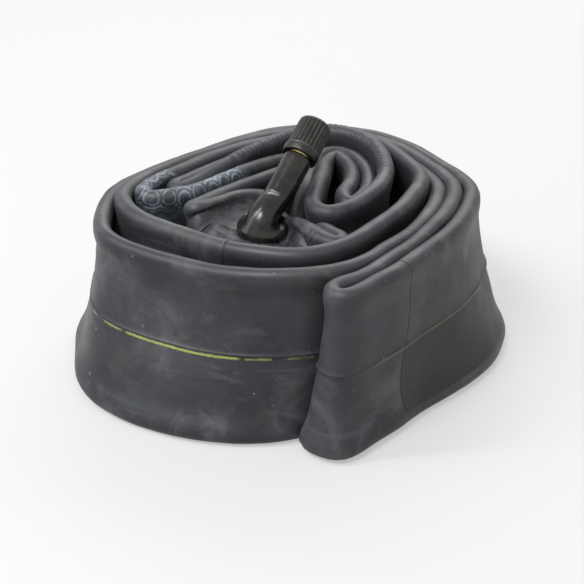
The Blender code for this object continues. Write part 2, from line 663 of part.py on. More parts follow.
def build_core(brass, steel, rubber, axis):
    bore = PIN_RADIUS + FIT_GAP
    barrel = hollow(
        (
            (CORE_RADIUS, BARREL_END),
            (CORE_RADIUS, GASKET_END + FIT_GAP),
            (BARREL_NECK, GASKET_END + FIT_GAP),
            (BARREL_NECK, GASKET_START - FIT_GAP),
            (CORE_RADIUS - 0.3 * MM, GASKET_START - FIT_GAP),
            (CORE_RADIUS - 0.3 * MM, BARREL_START),
        ),
        (
            (bore, BARREL_START),
            (bore, BARREL_SHOULDER - FIT_GAP),
            (BARREL_WELL, BARREL_SHOULDER - FIT_GAP),
            (BARREL_WELL, BARREL_END),
        ),
    )
    turned("core_barrel", barrel, brass, axis, BARREL_SIDES)
    gasket = hollow(
        ((CORE_RADIUS, GASKET_END), (CORE_RADIUS, GASKET_START + 0.5 * MM)),
        (
            (CORE_RADIUS - 0.15 * MM, GASKET_START),
            (BARREL_NECK + FIT_GAP, GASKET_START),
            (BARREL_NECK + FIT_GAP, GASKET_END),
        ),
    )
    turned("core_gasket", gasket, rubber, axis)
    swivel = hollow(
        (
            (SWIVEL_NECK, SWIVEL_END),
            (SWIVEL_NECK, SWIVEL_NECK_AT),
            (SWIVEL_RADIUS, SWIVEL_NECK_AT),
            (SWIVEL_RADIUS, SWIVEL_START),
        ),
        ((bore, SWIVEL_START), (bore, SWIVEL_END)),
    )
    turned("core_swivel", swivel, brass, axis)
    pin = (
        (0.0, PIN_END),
        (PIN_HEAD, PIN_END),
        (PIN_HEAD, PIN_END - PIN_HEAD_DEPTH),
        (PIN_RADIUS, PIN_END - PIN_HEAD_DEPTH),
        (PIN_RADIUS, PIN_COLLAR_AT + PIN_COLLAR_DEPTH),
        (PIN_COLLAR, PIN_COLLAR_AT + PIN_COLLAR_DEPTH),
        (PIN_COLLAR, PIN_COLLAR_AT),
        (PIN_RADIUS, PIN_COLLAR_AT),
        (PIN_RADIUS, PIN_START + PIN_FOOT_DEPTH),
        (PIN_FOOT, PIN_START + PIN_FOOT_DEPTH),
        (PIN_FOOT, PIN_START),
        (0.0, PIN_START),
    )
    turned("core_pin", pin, steel, axis, closed=False)
    cup = hollow(
        (
            (CUP_RADIUS, CUP_RIM),
            (CUP_RADIUS, CUP_START),
        ),
        (
            (bore, CUP_START),
            (bore, CUP_START + CUP_FLOOR),
            (CUP_INNER, CUP_START + CUP_FLOOR),
            (CUP_INNER, CUP_RIM),
        ),
    )
    turned("core_cup", cup, brass, axis)
    seal = hollow(
        (
            (CUP_RADIUS, SEAL_END),
            (CUP_RADIUS, CUP_RIM + FIT_GAP),
        ),
        (
            (bore, CUP_RIM + FIT_GAP),
            (bore, SEAL_END),
        ),
    )
    turned("core_cup_seal", seal, rubber, axis)


def build_spring(steel, axis):
    """Open helix of round wire on the pin, between the barrel's shoulder and the pin's collar."""
    low = BARREL_SHOULDER + SPRING_WIRE
    high = PIN_COLLAR_AT - FIT_GAP - SPRING_WIRE
    per_turn = 12
    total = SPRING_TURNS * per_turn
    sides = 6
    bm = bmesh.new()
    rings = []
    for step in range(total + 1):
        angle = 2.0 * math.pi * step / per_turn
        height = low + (high - low) * step / total
        out = Vector((math.cos(angle), math.sin(angle), 0.0))
        ring = []
        for corner in range(sides):
            turn = 2.0 * math.pi * corner / sides
            offset = out * math.cos(turn) + Vector((0.0, 0.0, math.sin(turn)))
            ring.append(bm.verts.new(out * SPRING_RADIUS + Vector((0, 0, height)) + offset * SPRING_WIRE))
        rings.append(ring)
    for first, second in zip(rings, rings[1:]):
        for corner in range(sides):
            other = (corner + 1) % sides
            bm.faces.new((first[corner], first[other], second[other], second[corner]))
    bm.faces.new(rings[0])
    bm.faces.new(rings[-1][::-1])
    add_object("core_spring", bm, steel, axis)


def main():
    clear_scene()
    frames = tube_frames()
    tube = build_tube(frames, material("butyl_rubber", (0.055, 0.058, 0.064), 0.5))
    foot = foot_matrix(frames, tube)
    axis = axis_matrix(foot.translation)
    cut_air_hole(tube, foot)
    build_stem_rubber(foot, material("moulded_rubber", (0.02, 0.02, 0.022), 0.3))
    brass = material("brass", (0.72, 0.52, 0.22), 0.3, 1.0)
    build_insert(brass, axis)
    rib_cap(build_cap(material("cap_plastic", (0.015, 0.015, 0.016), 0.35), axis))
    core_brass = material("core_brass", (0.74, 0.56, 0.28), 0.3, 1.0)
    steel = material("spring_steel", (0.6, 0.6, 0.62), 0.25, 1.0)
    soft = material("seal_rubber", (0.3, 0.03, 0.02), 0.6)
    build_core(core_brass, steel, soft, axis)
    build_spring(steel, axis)


main()
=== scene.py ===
import json
import math

import bmesh
import bpy
import numpy as np
from mathutils import Matrix, Vector, noise


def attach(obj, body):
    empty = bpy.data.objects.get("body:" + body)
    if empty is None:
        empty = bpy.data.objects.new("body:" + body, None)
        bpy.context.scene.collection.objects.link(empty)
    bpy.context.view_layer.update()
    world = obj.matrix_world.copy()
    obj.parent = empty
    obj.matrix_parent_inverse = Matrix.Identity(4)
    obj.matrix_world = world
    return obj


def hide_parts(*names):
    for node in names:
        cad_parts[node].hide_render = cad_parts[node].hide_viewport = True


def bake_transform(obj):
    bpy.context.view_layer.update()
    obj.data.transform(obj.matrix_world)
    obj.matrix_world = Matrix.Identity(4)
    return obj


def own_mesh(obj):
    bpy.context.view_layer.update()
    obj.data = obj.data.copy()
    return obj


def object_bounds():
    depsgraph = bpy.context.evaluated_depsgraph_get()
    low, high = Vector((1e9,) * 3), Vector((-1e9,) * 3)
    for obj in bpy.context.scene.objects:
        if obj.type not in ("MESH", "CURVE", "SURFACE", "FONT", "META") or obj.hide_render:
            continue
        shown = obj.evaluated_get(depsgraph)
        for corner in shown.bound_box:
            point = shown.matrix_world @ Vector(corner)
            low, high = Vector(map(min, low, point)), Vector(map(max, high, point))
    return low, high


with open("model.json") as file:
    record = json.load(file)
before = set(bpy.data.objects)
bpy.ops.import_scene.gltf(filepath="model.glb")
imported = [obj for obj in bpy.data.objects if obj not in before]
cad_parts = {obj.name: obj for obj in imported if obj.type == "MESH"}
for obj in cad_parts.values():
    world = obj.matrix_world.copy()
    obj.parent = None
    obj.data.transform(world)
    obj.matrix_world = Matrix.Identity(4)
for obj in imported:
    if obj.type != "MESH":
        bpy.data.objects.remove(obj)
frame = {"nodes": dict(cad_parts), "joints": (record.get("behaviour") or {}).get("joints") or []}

cadLow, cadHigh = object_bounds()
mm = 0.001

# where the valve stands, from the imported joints
joints = {joint["name"]: joint for joint in frame["joints"]}
footPoint = Vector(joints["stem_flex"]["pos_m"])
stemAxis = Vector(joints["cap_lift"]["axis"]).normalized()

# the route of the rolled tube, mm: x, y, lean of the upper half, lean of the lower half, lift
outerLap = (
    (10.5, -47.0, 2.7, 3.7, 0.6),
    (12.6, -50.3, 1.6, 2.0, 0.5),
    (16.5, -49.0, 0.8, 1.0, 0.5),
    (21.8, -43.2, 0.7, 0.8, 0.5),
    (27.3, -37.2, 0.7, 0.8, 0.5),
    (32.2, -30.5, 0.8, 1.0, 0.5),
    (39.5, -19.5, 1.8, 2.6, 0.5),
    (45.5, -8.5, 3.0, 4.6, 0.5),
    (48.7, 0.0, 3.8, 5.8, 0.5),
    (51.0, 8.0, 4.0, 6.0, 0.5),
    (52.2, 16.0, 4.2, 6.2, 0.4),
    (51.2, 22.5, 4.2, 6.2, 0.3),
    (48.8, 28.5, 4.2, 6.2, 0.2),
    (45.8, 34.0, 4.4, 6.4, 0.0),
    (42.2, 40.5, 4.6, 6.6, 0.0),
    (38.2, 47.4, 4.8, 6.8, 0.0),
    (33.6, 53.2, 5.0, 7.0, 0.0),
    (27.8, 58.0, 5.0, 7.0, 0.0),
    (21.0, 61.6, 5.0, 7.0, 0.0),
    (13.8, 63.8, 5.0, 7.0, 0.0),
    (6.0, 64.6, 5.0, 7.0, 0.0),
    (-2.0, 63.4, 5.0, 7.0, 0.0),
    (-9.5, 60.0, 5.0, 7.0, 0.0),
    (-17.5, 54.7, 5.2, 7.4, 0.0),
    (-25.3, 48.2, 5.4, 7.8, 0.0),
    (-33.2, 41.0, 5.6, 8.0, 0.0),
    (-41.0, 33.4, 5.6, 8.0, 0.0),
    (-47.3, 25.3, 5.2, 7.6, 0.0),
    (-51.3, 17.4, 4.6, 6.8, 0.0),
    (-53.0, 10.0, 4.0, 6.0, 0.0),
    (-53.5, 2.0, 3.4, 5.2, 0.0),
    (-53.2, -6.0, 3.2, 5.0, 0.0),
    (-50.6, -13.4, 3.6, 5.6, 0.0),
    (-44.4, -18.9, 4.4, 7.4, 0.0),
    (-38.4, -22.6, 4.6, 8.6, 0.0),
    (-31.2, -26.6, 4.6, 9.0, 0.0),
    (-22.8, -31.6, 4.2, 8.2, 0.0),
    (-11.6, -36.0, 3.2, 6.2, 0.0),
    (2.0, -37.6, 1.8, 2.8, 0.0),
    (9.0, -36.4, 0.9, 1.0, 0.0),
    (14.6, -33.6, 0.6, 0.6, 0.0),
    (20.7, -28.8, 0.6, 0.6, 0.0),
    (25.4, -22.8, 0.6, 0.6, 0.0),
    (30.2, -16.8, 0.7, 0.8, 0.0),
    (34.8, -9.5, 0.9, 1.0, 0.0),
    (38.2, -2.0, 1.2, 1.4, 0.0),
    (40.4, 4.0, 1.4, 1.8, 0.0),
    (41.8, 9.5, 1.6, 2.2, 0.0),
    (42.5, 14.8, 1.8, 2.4, 0.0),
    (41.8, 20.4, 2.0, 2.6, 0.0),
    (39.4, 26.4, 2.0, 2.8, 0.0),
    (37.0, 31.6, 2.2, 3.0, 0.0),
    (34.2, 36.9, 2.4, 3.2, 0.0),
    (31.2, 42.0, 2.6, 3.4, 0.0),
    (27.6, 46.8, 2.6, 3.6, 0.0),
    (22.6, 51.0, 2.6, 3.6, 0.0),
    (16.6, 54.2, 2.6, 3.6, 0.0),
    (10.6, 55.9, 2.6, 3.6, 0.0),
    (4.2, 56.2, 2.6, 3.6, 0.0),
    (-2.0, 54.2, 2.6, 3.6, 0.0),
    (-7.4, 51.2, 2.6, 3.6, 0.4),
    (-14.0, 46.2, 2.6, 3.6, 1.0),
    (-20.8, 40.2, 2.6, 3.6, 1.4),
    (-27.5, 33.4, 2.6, 3.6, 1.5),
    (-33.2, 26.8, 2.4, 3.2, 1.5),
    (-38.6, 21.6, 2.0, 2.6, 1.2),
    (-42.2, 17.2, 1.4, 1.8, 0.8),
    (-43.2, 12.8, 0.9, 1.2, 0.6),
    (-40.6, 9.8, 0.2, 0.4, 0.6),
    (-35.8, 10.4, 0.0, 0.0, 0.8),
    (-30.6, 12.0, 0.0, 0.0, 1.0),
    (-25.6, 14.8, 0.0, 0.0, 1.3),
    (-21.2, 18.8, 0.0, 0.0, 1.5),
    (-17.0, 23.2, 0.0, 0.0, 1.5),
    (-12.4, 28.2, 0.0, 0.0, 1.5),
    (-7.2, 32.9, 0.0, 0.0, 1.2),
    (-2.2, 36.3, 0.0, 0.0, 0.8),
    (1.3, 36.8, 0.0, 0.0, 0.5),
    (2.4, 34.2, 0.0, 0.0, 0.3),
    (-0.2, 31.2, 0.0, 0.0, 0.0),
    (-5.6, 26.7, 0.0, 0.0, 0.0),
    (-11.2, 21.7, 0.0, 0.0, 0.0),
    (-16.4, 16.8, 0.0, 0.0, 0.0),
    (-21.2, 12.0, 0.0, 0.0, 0.0),
    (-25.6, 7.2, 0.0, 0.0, 0.0),
)
# the strand with the valve lies on its side: top edge, middle, knee, bottom edge
valveStrand = (
    ((-28.0, 4.2, 48.2), (-28.3, 3.6, 29.0), (-28.3, 3.4, 21.6), (-28.3, 3.2, 4.6)),
    ((-27.8, 1.4, 48.8), (-29.2, -0.6, 36.0), (-29.2, -1.6, 28.8), (-28.8, -2.6, 11.5)),
    ((-25.0, 2.2, 49.0), (-26.6, -2.2, 42.2), (-26.8, -4.4, 36.6), (-26.4, -6.6, 18.6)),
    ((-21.4, 5.6, 48.8), (-22.8, -1.2, 44.2), (-23.2, -4.2, 43.4), (-23.4, -9.4, 22.4)),
    ((-17.2, 10.4, 48.2), (-18.6, -1.6, 42.9), (-19.2, -6.4, 42.6), (-20.0, -13.2, 22.6)),
    ((-12.4, 14.8, 46.8), (-14.0, -3.0, 42.0), (-14.6, -8.4, 42.2), (-15.8, -15.6, 22.2)),
    ((-7.4, 17.2, 44.8), (-8.8, -4.8, 41.5), (-9.4, -10.2, 41.8), (-10.4, -17.4, 21.6)),
    ((-3.8, 13.6, 43.8), (-5.2, -6.4, 41.3), (-5.6, -11.4, 41.4), (-6.4, -18.2, 21.2)),
    ((-1.8, 7.6, 43.4), (-2.0, -8.0, 41.2), (-2.4, -12.6, 41.0), (-3.0, -18.8, 20.8)),
    ((-0.4, 1.2, 44.8), (0.4, -10.0, 42.4), (0.2, -14.0, 41.0), (0.0, -19.4, 20.6)),
    ((1.6, -4.8, 47.2), (2.4, -12.8, 43.4), (2.2, -15.8, 41.0), (2.4, -20.0, 20.2)),
    ((4.2, -10.4, 48.0), (4.8, -14.8, 41.6), (4.8, -17.2, 38.2), (5.0, -20.8, 18.4)),
    ((6.4, -14.4, 48.4), (6.8, -16.8, 36.0), (7.0, -18.8, 30.4), (7.6, -21.4, 12.6)),
    ((8.6, -17.6, 48.6), (8.8, -19.0, 29.0), (9.2, -20.4, 22.0), (9.8, -22.2, 5.6)),
)
innerLap = (
    (12.2, -20.2, 0.6, 0.8, 0.6),
    (13.4, -17.6, 0.6, 0.6, 0.5),
    (11.2, -14.6, 0.0, 0.0, 0.3),
    (8.4, -10.8, -2.0, 2.0, 0.2),
    (4.8, -6.6, -10.0, 9.5, 0.0),
    (2.5, -2.2, -14.0, 12.5, 0.0),
    (2.4, 4.0, -13.6, 12.1, 0.0),
    (2.9, 10.6, -9.8, 8.8, 0.0),
    (4.2, 18.2, -4.0, 4.0, 0.0),
    (5.4, 26.0, 0.0, 0.0, 0.0),
    (6.6, 33.4, 0.0, 0.0, 0.5),
    (9.0, 38.8, 0.0, 0.0, 1.0),
    (13.2, 40.6, 0.0, 0.0, 1.3),
    (17.8, 37.4, 0.0, 0.0, 1.5),
    (20.9, 30.8, 0.0, 0.0, 1.5),
    (22.4, 22.6, 0.0, 0.0, 1.5),
    (22.0, 14.0, 0.0, 0.0, 1.2),
    (19.6, 7.8, 0.0, 0.0, 1.0),
    (16.4, 4.8, 0.0, 0.0, 1.0),
    (14.9, 7.4, 0.0, 0.0, 1.4),
    (16.6, 14.2, 0.0, 0.0, 2.0),
    (17.5, 21.8, 0.0, 0.0, 2.6),
    (15.9, 28.6, 0.0, 0.0, 3.0),
    (13.0, 32.6, 0.0, 0.0, 3.0),
    (10.4, 29.4, 0.0, 0.0, 3.0),
    (9.2, 21.4, 0.0, 0.0, 3.0),
    (7.5, 12.6, 0.0, 0.0, 3.0),
    (6.1, 4.8, 0.0, 0.0, 3.0),
    (6.3, -2.2, 0.0, 0.0, 3.0),
    (9.6, -6.0, 0.0, 0.0, 3.2),
    (14.0, -5.0, 0.0, 0.0, 3.5),
    (18.4, -1.4, 0.0, 0.0, 4.0),
    (22.4, 3.8, 0.0, 0.0, 4.4),
    (25.4, 9.8, 0.0, 0.0, 4.8),
    (27.1, 16.2, 0.0, 0.0, 5.2),
    (27.2, 23.2, 0.0, 0.0, 5.5),
    (26.2, 30.0, 0.0, 0.0, 5.8),
    (24.2, 36.0, 0.0, 0.0, 6.0),
    (21.2, 41.0, 0.0, 0.0, 6.0),
    (17.0, 44.8, 0.2, 0.4, 6.0),
    (11.8, 47.0, 0.3, 0.6, 5.8),
    (5.8, 47.2, 0.4, 0.8, 5.5),
    (0.0, 44.8, 0.4, 0.8, 5.2),
    (-5.6, 40.4, 0.4, 0.8, 5.0),
    (-11.0, 35.4, 0.3, 0.6, 4.6),
    (-16.0, 30.4, 0.2, 0.4, 4.0),
    (-20.8, 25.4, 0.0, 0.2, 3.0),
    (-25.2, 21.0, 0.0, 0.0, 2.0),
    (-29.2, 17.8, 0.0, 0.0, 1.0),
    (-33.2, 16.2, 0.0, 0.0, 0.4),
    (-34.4, 18.6, -0.4, -0.6, 0.0),
    (-32.0, 21.6, -0.4, -0.8, 0.0),
    (-27.8, 26.0, -0.6, -1.0, 0.0),
    (-22.6, 31.8, -0.8, -1.2, 0.0),
    (-16.8, 37.8, -1.0, -1.4, 0.0),
    (-11.0, 43.2, -1.2, -1.8, 0.0),
    (-5.8, 47.6, -1.4, -2.0, 0.0),
    (-1.0, 50.5, -1.4, -2.2, 0.0),
    (4.4, 51.9, -1.4, -2.2, 0.2),
    (9.8, 51.7, -1.4, -2.2, 0.8),
    (15.0, 50.2, -1.4, -2.2, 1.6),
    (20.3, 47.3, -1.4, -2.2, 2.6),
    (25.0, 43.2, -1.4, -2.2, 3.6),
    (28.4, 38.6, -1.4, -2.2, 4.0),
    (31.0, 33.6, -1.4, -2.2, 4.0),
    (33.5, 28.6, -1.3, -2.0, 3.8),
    (35.9, 23.4, -1.2, -1.8, 3.5),
    (37.5, 18.0, -1.1, -1.6, 3.2),
    (36.8, 12.4, -1.0, -1.4, 3.0),
    (34.6, 6.6, -0.8, -1.2, 2.8),
    (31.8, 0.2, -0.6, -1.0, 2.6),
    (27.4, -7.6, -0.4, -0.6, 2.5),
    (22.6, -14.6, -0.3, -0.3, 2.5),
    (17.8, -21.4, -0.3, -0.3, 2.5),
    (13.2, -25.8, -0.5, -0.6, 2.5),
    (8.0, -29.0, -0.9, -1.2, 2.5),
    (1.6, -30.8, -1.4, -2.2, 2.5),
    (-6.2, -29.6, -2.2, -3.6, 2.5),
    (-14.6, -26.6, -2.8, -4.8, 2.5),
    (-22.6, -21.6, -3.0, -5.4, 2.4),
    (-31.0, -15.4, -3.0, -5.4, 2.2),
    (-38.0, -9.8, -2.8, -5.0, 2.0),
    (-44.0, -3.6, -2.4, -4.0, 1.8),
    (-47.4, 3.2, -2.2, -3.4, 1.6),
    (-48.6, 9.6, -2.4, -3.6, 1.5),
    (-47.0, 16.0, -2.8, -4.2, 1.5),
    (-43.2, 23.0, -3.4, -5.0, 1.5),
    (-37.2, 30.4, -3.8, -5.6, 1.5),
    (-29.8, 37.6, -3.8, -5.6, 1.5),
    (-22.2, 44.4, -3.6, -5.4, 1.3),
    (-15.0, 50.6, -3.6, -5.4, 1.0),
    (-8.0, 55.8, -3.6, -5.4, 0.6),
    (-1.2, 59.0, -3.6, -5.4, 0.3),
    (5.6, 60.4, -3.6, -5.4, 0.2),
    (12.6, 59.8, -3.6, -5.4, 0.2),
    (19.4, 57.6, -3.6, -5.4, 0.2),
    (25.6, 54.2, -3.6, -5.4, 0.2),
    (30.8, 50.0, -3.6, -5.4, 0.2),
    (35.0, 44.8, -3.6, -5.2, 0.2),
    (38.4, 39.0, -3.4, -5.0, 0.2),
    (41.4, 33.2, -3.2, -4.6, 0.2),
    (44.2, 27.6, -3.0, -4.4, 0.3),
    (46.4, 21.8, -3.0, -4.2, 0.4),
    (47.2, 15.6, -2.8, -4.0, 0.5),
    (46.4, 9.4, -2.6, -3.8, 0.5),
    (44.6, 2.6, -2.2, -3.2, 0.5),
    (41.4, -5.4, -1.6, -2.2, 0.5),
    (37.0, -13.6, -0.9, -1.2, 0.5),
    (32.0, -22.6, -0.5, -0.6, 0.5),
    (26.6, -29.8, -0.4, -0.4, 0.5),
    (21.8, -36.2, -0.4, -0.4, 0.5),
    (17.2, -41.2, -0.2, -0.3, 0.5),
    (12.8, -44.0, 0.8, 1.2, 0.5),
)

tubeSize = {
    "halfWidth": 23.2,  # middle line to the edge of the flattened tube, mm
    "tip": 1.8,  # how far the rim runs past that edge
    "middleHalf": 1.15,  # half of the doubled wall
    "rimRadius": 2.5,
    "rimFade": 4.6,  # how fast the rim thins into the flat
    "kneeAt": 0.25,
    "shift": (0.16, -11.28, 0.0),
    "rows": 1300,  # stations round the ring
    "closest": 0.5,  # finest spacing at a fold, mm
    "seamHeight": 0.42,
    "seamWidth": 0.5,
    "seamStep": 0.16,
    "grooveAt": 17.6,
    "grooveDepth": 0.55,
    "ribHeight": 0.10,
    "ribPitch": 1.6,
    "ridgeHeight": 0.12,
    "ridgePitch": 2.3,
    "unevenness": ((0.26, 17.0), (0.09, 5.0)),  # height, size
}
quarter = 25.0  # a quarter of the way round the section: the faces are at 0 and 50, the rims at 25 and 75


def coarseFrames():
    # the four guide points of every station: top, middle, knee, bottom
    half = tubeSize["halfWidth"]
    flat = [(p[0], p[1]) for p in outerLap]
    flat += [(f[0][0], f[0][1]) for f in valveStrand]
    flat += [(p[0], p[1]) for p in innerLap]
    first = len(outerLap)
    last = first + len(valveStrand)
    laps = outerLap + ((0, 0, 0, 0, 0),) * len(valveStrand) + innerLap
    frames = []
    for index in range(len(flat)):
        if first <= index < last:
            frames.append([Vector(corner) for corner in valveStrand[index - first]])
            continue
        x, y, upper, lower, lift = laps[index]
        before = Vector(flat[index - 1])
        after = Vector(flat[(index + 1) % len(flat)])
        way = (after - before).normalized()
        out = Vector((way.y, -way.x, 0.0))
        base = tubeSize["tip"] + lift
        lowerRise = math.sqrt(half**2 - lower**2)
        upperRise = math.sqrt(half**2 - upper**2)
        top = Vector((x, y, base + lowerRise + upperRise))
        middle = Vector((x, y, base + lowerRise)) + out * upper
        bottom = Vector((x, y, base)) + out * (upper + lower)
        frames.append([top, middle, middle.lerp(bottom, tubeSize["kneeAt"]), bottom])
    shift = Vector(tubeSize["shift"])
    return np.array([[list(point + shift) for point in four] for four in frames])


def ringSpline(knots, values, wanted):
    # closed cubic spline through values at knots; the last knot is the length of the ring
    steps = np.diff(knots)
    count = len(steps)
    matrix = np.zeros((count, count))
    right = np.zeros((count, values.shape[1]))
    slope = (np.roll(values, -1, axis=0) - values) / steps[:, None]
    for i in range(count):
        before = steps[i - 1]
        matrix[i, i - 1] += before
        matrix[i, i] += 2.0 * (before + steps[i])
        matrix[i, (i + 1) % count] += steps[i]
        right[i] = 6.0 * (slope[i] - slope[i - 1])
    bend = np.linalg.solve(matrix, right)
    cell = np.clip(np.searchsorted(knots, wanted, side="right") - 1, 0, count - 1)
    width = steps[cell][:, None]
    b = ((wanted - knots[cell]) / steps[cell])[:, None]
    a = 1.0 - b
    after = (cell + 1) % count
    curve = a * values[cell] + b * values[after]
    return curve + ((a**3 - a) * bend[cell] + (b**3 - b) * bend[after]) * width**2 / 6.0


def atStation(place, knots):
    low = int(math.floor(place))
    return knots[low] + (knots[low + 1] - knots[low]) * (place - low)


# stretches of the ring by station: the outer lap counts from 0, the inner lap from innerStart
innerStart = len(outerLap) + len(valveStrand)
stretches = {
    "start": 18.5,  # where the pattern along the tube begins, at the hidden back
    "ribbed": (innerStart + 34.0, innerStart + 45.5),
    "valve": (len(outerLap) + 0.0, len(outerLap) + 13.0),
    "talc": (64.6, 73.4),
    "groove": (30.5, 37.6),
    "crease": (3.0, 10.6),
    "inkStrong": (33.3, 36.85),
    "inkPale": (31.6, 39.8),
}


def alongAt(place):
    return (atStation(place, knots) - atStation(stretches["start"], knots)) % ringLength


def chooseRows():
    # rows lie closer at folds and on the ribbed stretches
    dense = np.linspace(0.0, ringLength, 8001)
    tops = ringSpline(knots, coarse.reshape(-1, 12), dense % ringLength)[:, 0:3]
    ways = np.diff(tops, axis=0)
    ways /= np.linalg.norm(ways, axis=1)[:, None]
    turns = np.linalg.norm(np.diff(ways, axis=0), axis=1) / (dense[1] - dense[0])
    turns = np.convolve(np.append(turns, turns[-1]), np.ones(5) / 5, "same")
    spacing = np.clip(0.34 / np.maximum(turns, 1e-6), tubeSize["closest"], 1.5)
    middles = (dense[:-1] + dense[1:]) / 2.0
    for name, finest in (("ribbed", 0.5), ("valve", 0.7)):
        low, high = (atStation(place, knots) for place in stretches[name])
        inside = (middles > low) & (middles < high)
        spacing[inside] = np.minimum(spacing[inside], finest)
    passed = np.concatenate([[0.0], np.cumsum(np.diff(dense) / spacing)])
    start = np.interp(atStation(stretches["start"], knots), dense, passed)
    steps = start + np.arange(tubeSize["rows"]) * passed[-1] / tubeSize["rows"]
    return np.interp(steps % passed[-1], passed, dense)


def acrossPlaces():
    # once round the section: outer face upward, over the top rim, inner face downward, under the bottom rim
    fan = 7
    flats = [0.0, 0.45, 0.9, 1.8, 3.6, 5.6, 7.6, 9.6, 11.4, 13.2, 15.0, 16.6, 18.2, 19.6, 20.9]
    face = [-x for x in flats[:0:-1]] + flats
    places = [("flat", x, 1.0) for x in face]
    places += [("top", math.pi / 2 - math.pi * k / fan, 1.0) for k in range(fan + 1)]
    places += [("flat", x, -1.0) for x in face[::-1]]
    places += [("bottom", -math.pi / 2 + math.pi * k / fan, 1.0) for k in range(fan + 1)]
    return places


def centreSurface(frames, across):
    # points on the middle surface of the flattened tube; across runs from -1, bottom, to 1, top
    bottom, knee, middle, top = frames[:, 3], frames[:, 2], frames[:, 1], frames[:, 0]
    kneeAt = tubeSize["kneeAt"]
    spans = (1.0 - kneeAt, kneeAt, 1.0)
    slopes = [(knee - bottom) / spans[0], (middle - knee) / spans[1], (top - middle) / spans[2]]
    ends = [slopes[0]]
    for k in (0, 1):
        mixed = (slopes[k] * spans[k + 1] + slopes[k + 1] * spans[k]) / (spans[k] + spans[k + 1])
        ends.append(mixed)
    ends.append(slopes[2])
    marks = [-1.0, -kneeAt, 0.0, 1.0]
    corners = [bottom, knee, middle, top]
    found = np.zeros((len(frames), len(across), 3))
    for column, a in enumerate(across):
        cell = 0 if a < marks[1] else (1 if a < marks[2] else 2)
        span = spans[cell]
        t = (a - marks[cell]) / span
        if 0.0 <= t <= 1.0:
            found[:, column] = (
                corners[cell] * (2 * t**3 - 3 * t**2 + 1)
                + ends[cell] * span * (t**3 - 2 * t**2 + t)
                + corners[cell + 1] * (3 * t**2 - 2 * t**3)
                + ends[cell + 1] * span * (t**3 - t**2)
            )
        elif t > 1.0:
            found[:, column] = corners[cell + 1] + ends[cell + 1] * span * (t - 1.0)
        else:
            found[:, column] = corners[cell] + ends[cell] * span * t
    return found


def unit(vectors):
    return vectors / np.maximum(np.linalg.norm(vectors, axis=-1), 1e-9)[..., None]


def smoothRows(values, reach):
    kernel = np.hanning(2 * reach + 3)[1:-1]
    kernel /= kernel.sum()
    padded = np.concatenate([values[-reach:], values, values[:reach]])
    return np.stack([np.convolve(padded[:, k], kernel, "valid") for k in range(values.shape[1])], axis=1)


def window(along, low, high, fade):
    # 1 between low and high along the ring, fading outside
    middle = (low + high) / 2.0
    off = np.abs((along - middle + ringLength / 2.0) % ringLength - ringLength / 2.0)
    return np.clip((abs(high - low) / 2.0 + fade - off) / fade, 0.0, 1.0)


coarse = coarseFrames()
chords = np.linalg.norm(np.roll(coarse, -1, axis=0) - coarse, axis=2)[:, [0, 1, 3]].mean(axis=1)
knots = np.concatenate([[0.0], np.cumsum(chords)])
ringLength = knots[-1]


def tubeSurface():
    rows = chooseRows()
    along = (rows - atStation(stretches["start"], knots)) % ringLength
    along[0] = 0.0
    frames = ringSpline(knots, coarse.reshape(-1, 12), rows).reshape(-1, 4, 3)
    half = tubeSize["halfWidth"]
    rim = tubeSize["rimRadius"]
    rimCentre = half + tubeSize["tip"] - rim
    places = acrossPlaces()
    across, outward, sideways, around, lean = [], [], [], [], []
    for kind, value, face in places:
        if kind == "flat":
            gap = rimCentre - abs(value)
            thick = tubeSize["middleHalf"] + (rim - tubeSize["middleHalf"]) * math.exp(
                -((gap / tubeSize["rimFade"]) ** 2)
            )
            across.append(value)
            outward.append(thick * face)
            sideways.append(0.0)
            around.append(value if face > 0 else 2 * quarter - value)
            lean.append((face, 0.0))
        elif kind == "top":
            across.append(rimCentre)
            outward.append(rim * math.sin(value))
            sideways.append(rim * math.cos(value))
            around.append(quarter - rim * value / (math.pi / 2.0))
            lean.append((math.sin(value), math.cos(value)))
        else:
            across.append(-rimCentre)
            outward.append(rim * math.sin(value))
            sideways.append(-rim * math.cos(value))
            around.append(3 * quarter + rim * value / (math.pi / 2.0))
            lean.append((math.sin(value), -math.cos(value)))
    across = np.array(across)
    outward = np.array(outward)
    sideways = np.array(sideways)
    around = np.array(around)
    lean = np.array(lean)
    base = centreSurface(frames, across / half)
    rise = centreSurface(frames, across / half + 0.02) - centreSurface(frames, across / half - 0.02)
    ahead = np.roll(base, -1, axis=0) - np.roll(base, 1, axis=0)
    rise = unit(rise)
    normal = unit(np.cross(ahead, rise))
    # a fold's inner side is thinner than its radius
    spread = np.roll(normal, -1, axis=0) - np.roll(normal, 1, axis=0)
    bend = (spread * ahead).sum(axis=2) / np.maximum((ahead * ahead).sum(axis=2), 1e-9)
    inward = np.maximum(0.0, -bend * np.sign(outward)[None, :])
    most = 0.8 / np.maximum(inward, 1e-4)
    offset = np.sign(outward)[None, :] * np.minimum(np.abs(outward)[None, :], most)
    offset = smoothRows(offset, 2)
    points = base + normal * offset[..., None] + rise * sideways[None, :, None]
    outwards = unit(normal * lean[None, :, 0:1] + rise * lean[None, :, 1:2])
    return points, outwards, along, across, around


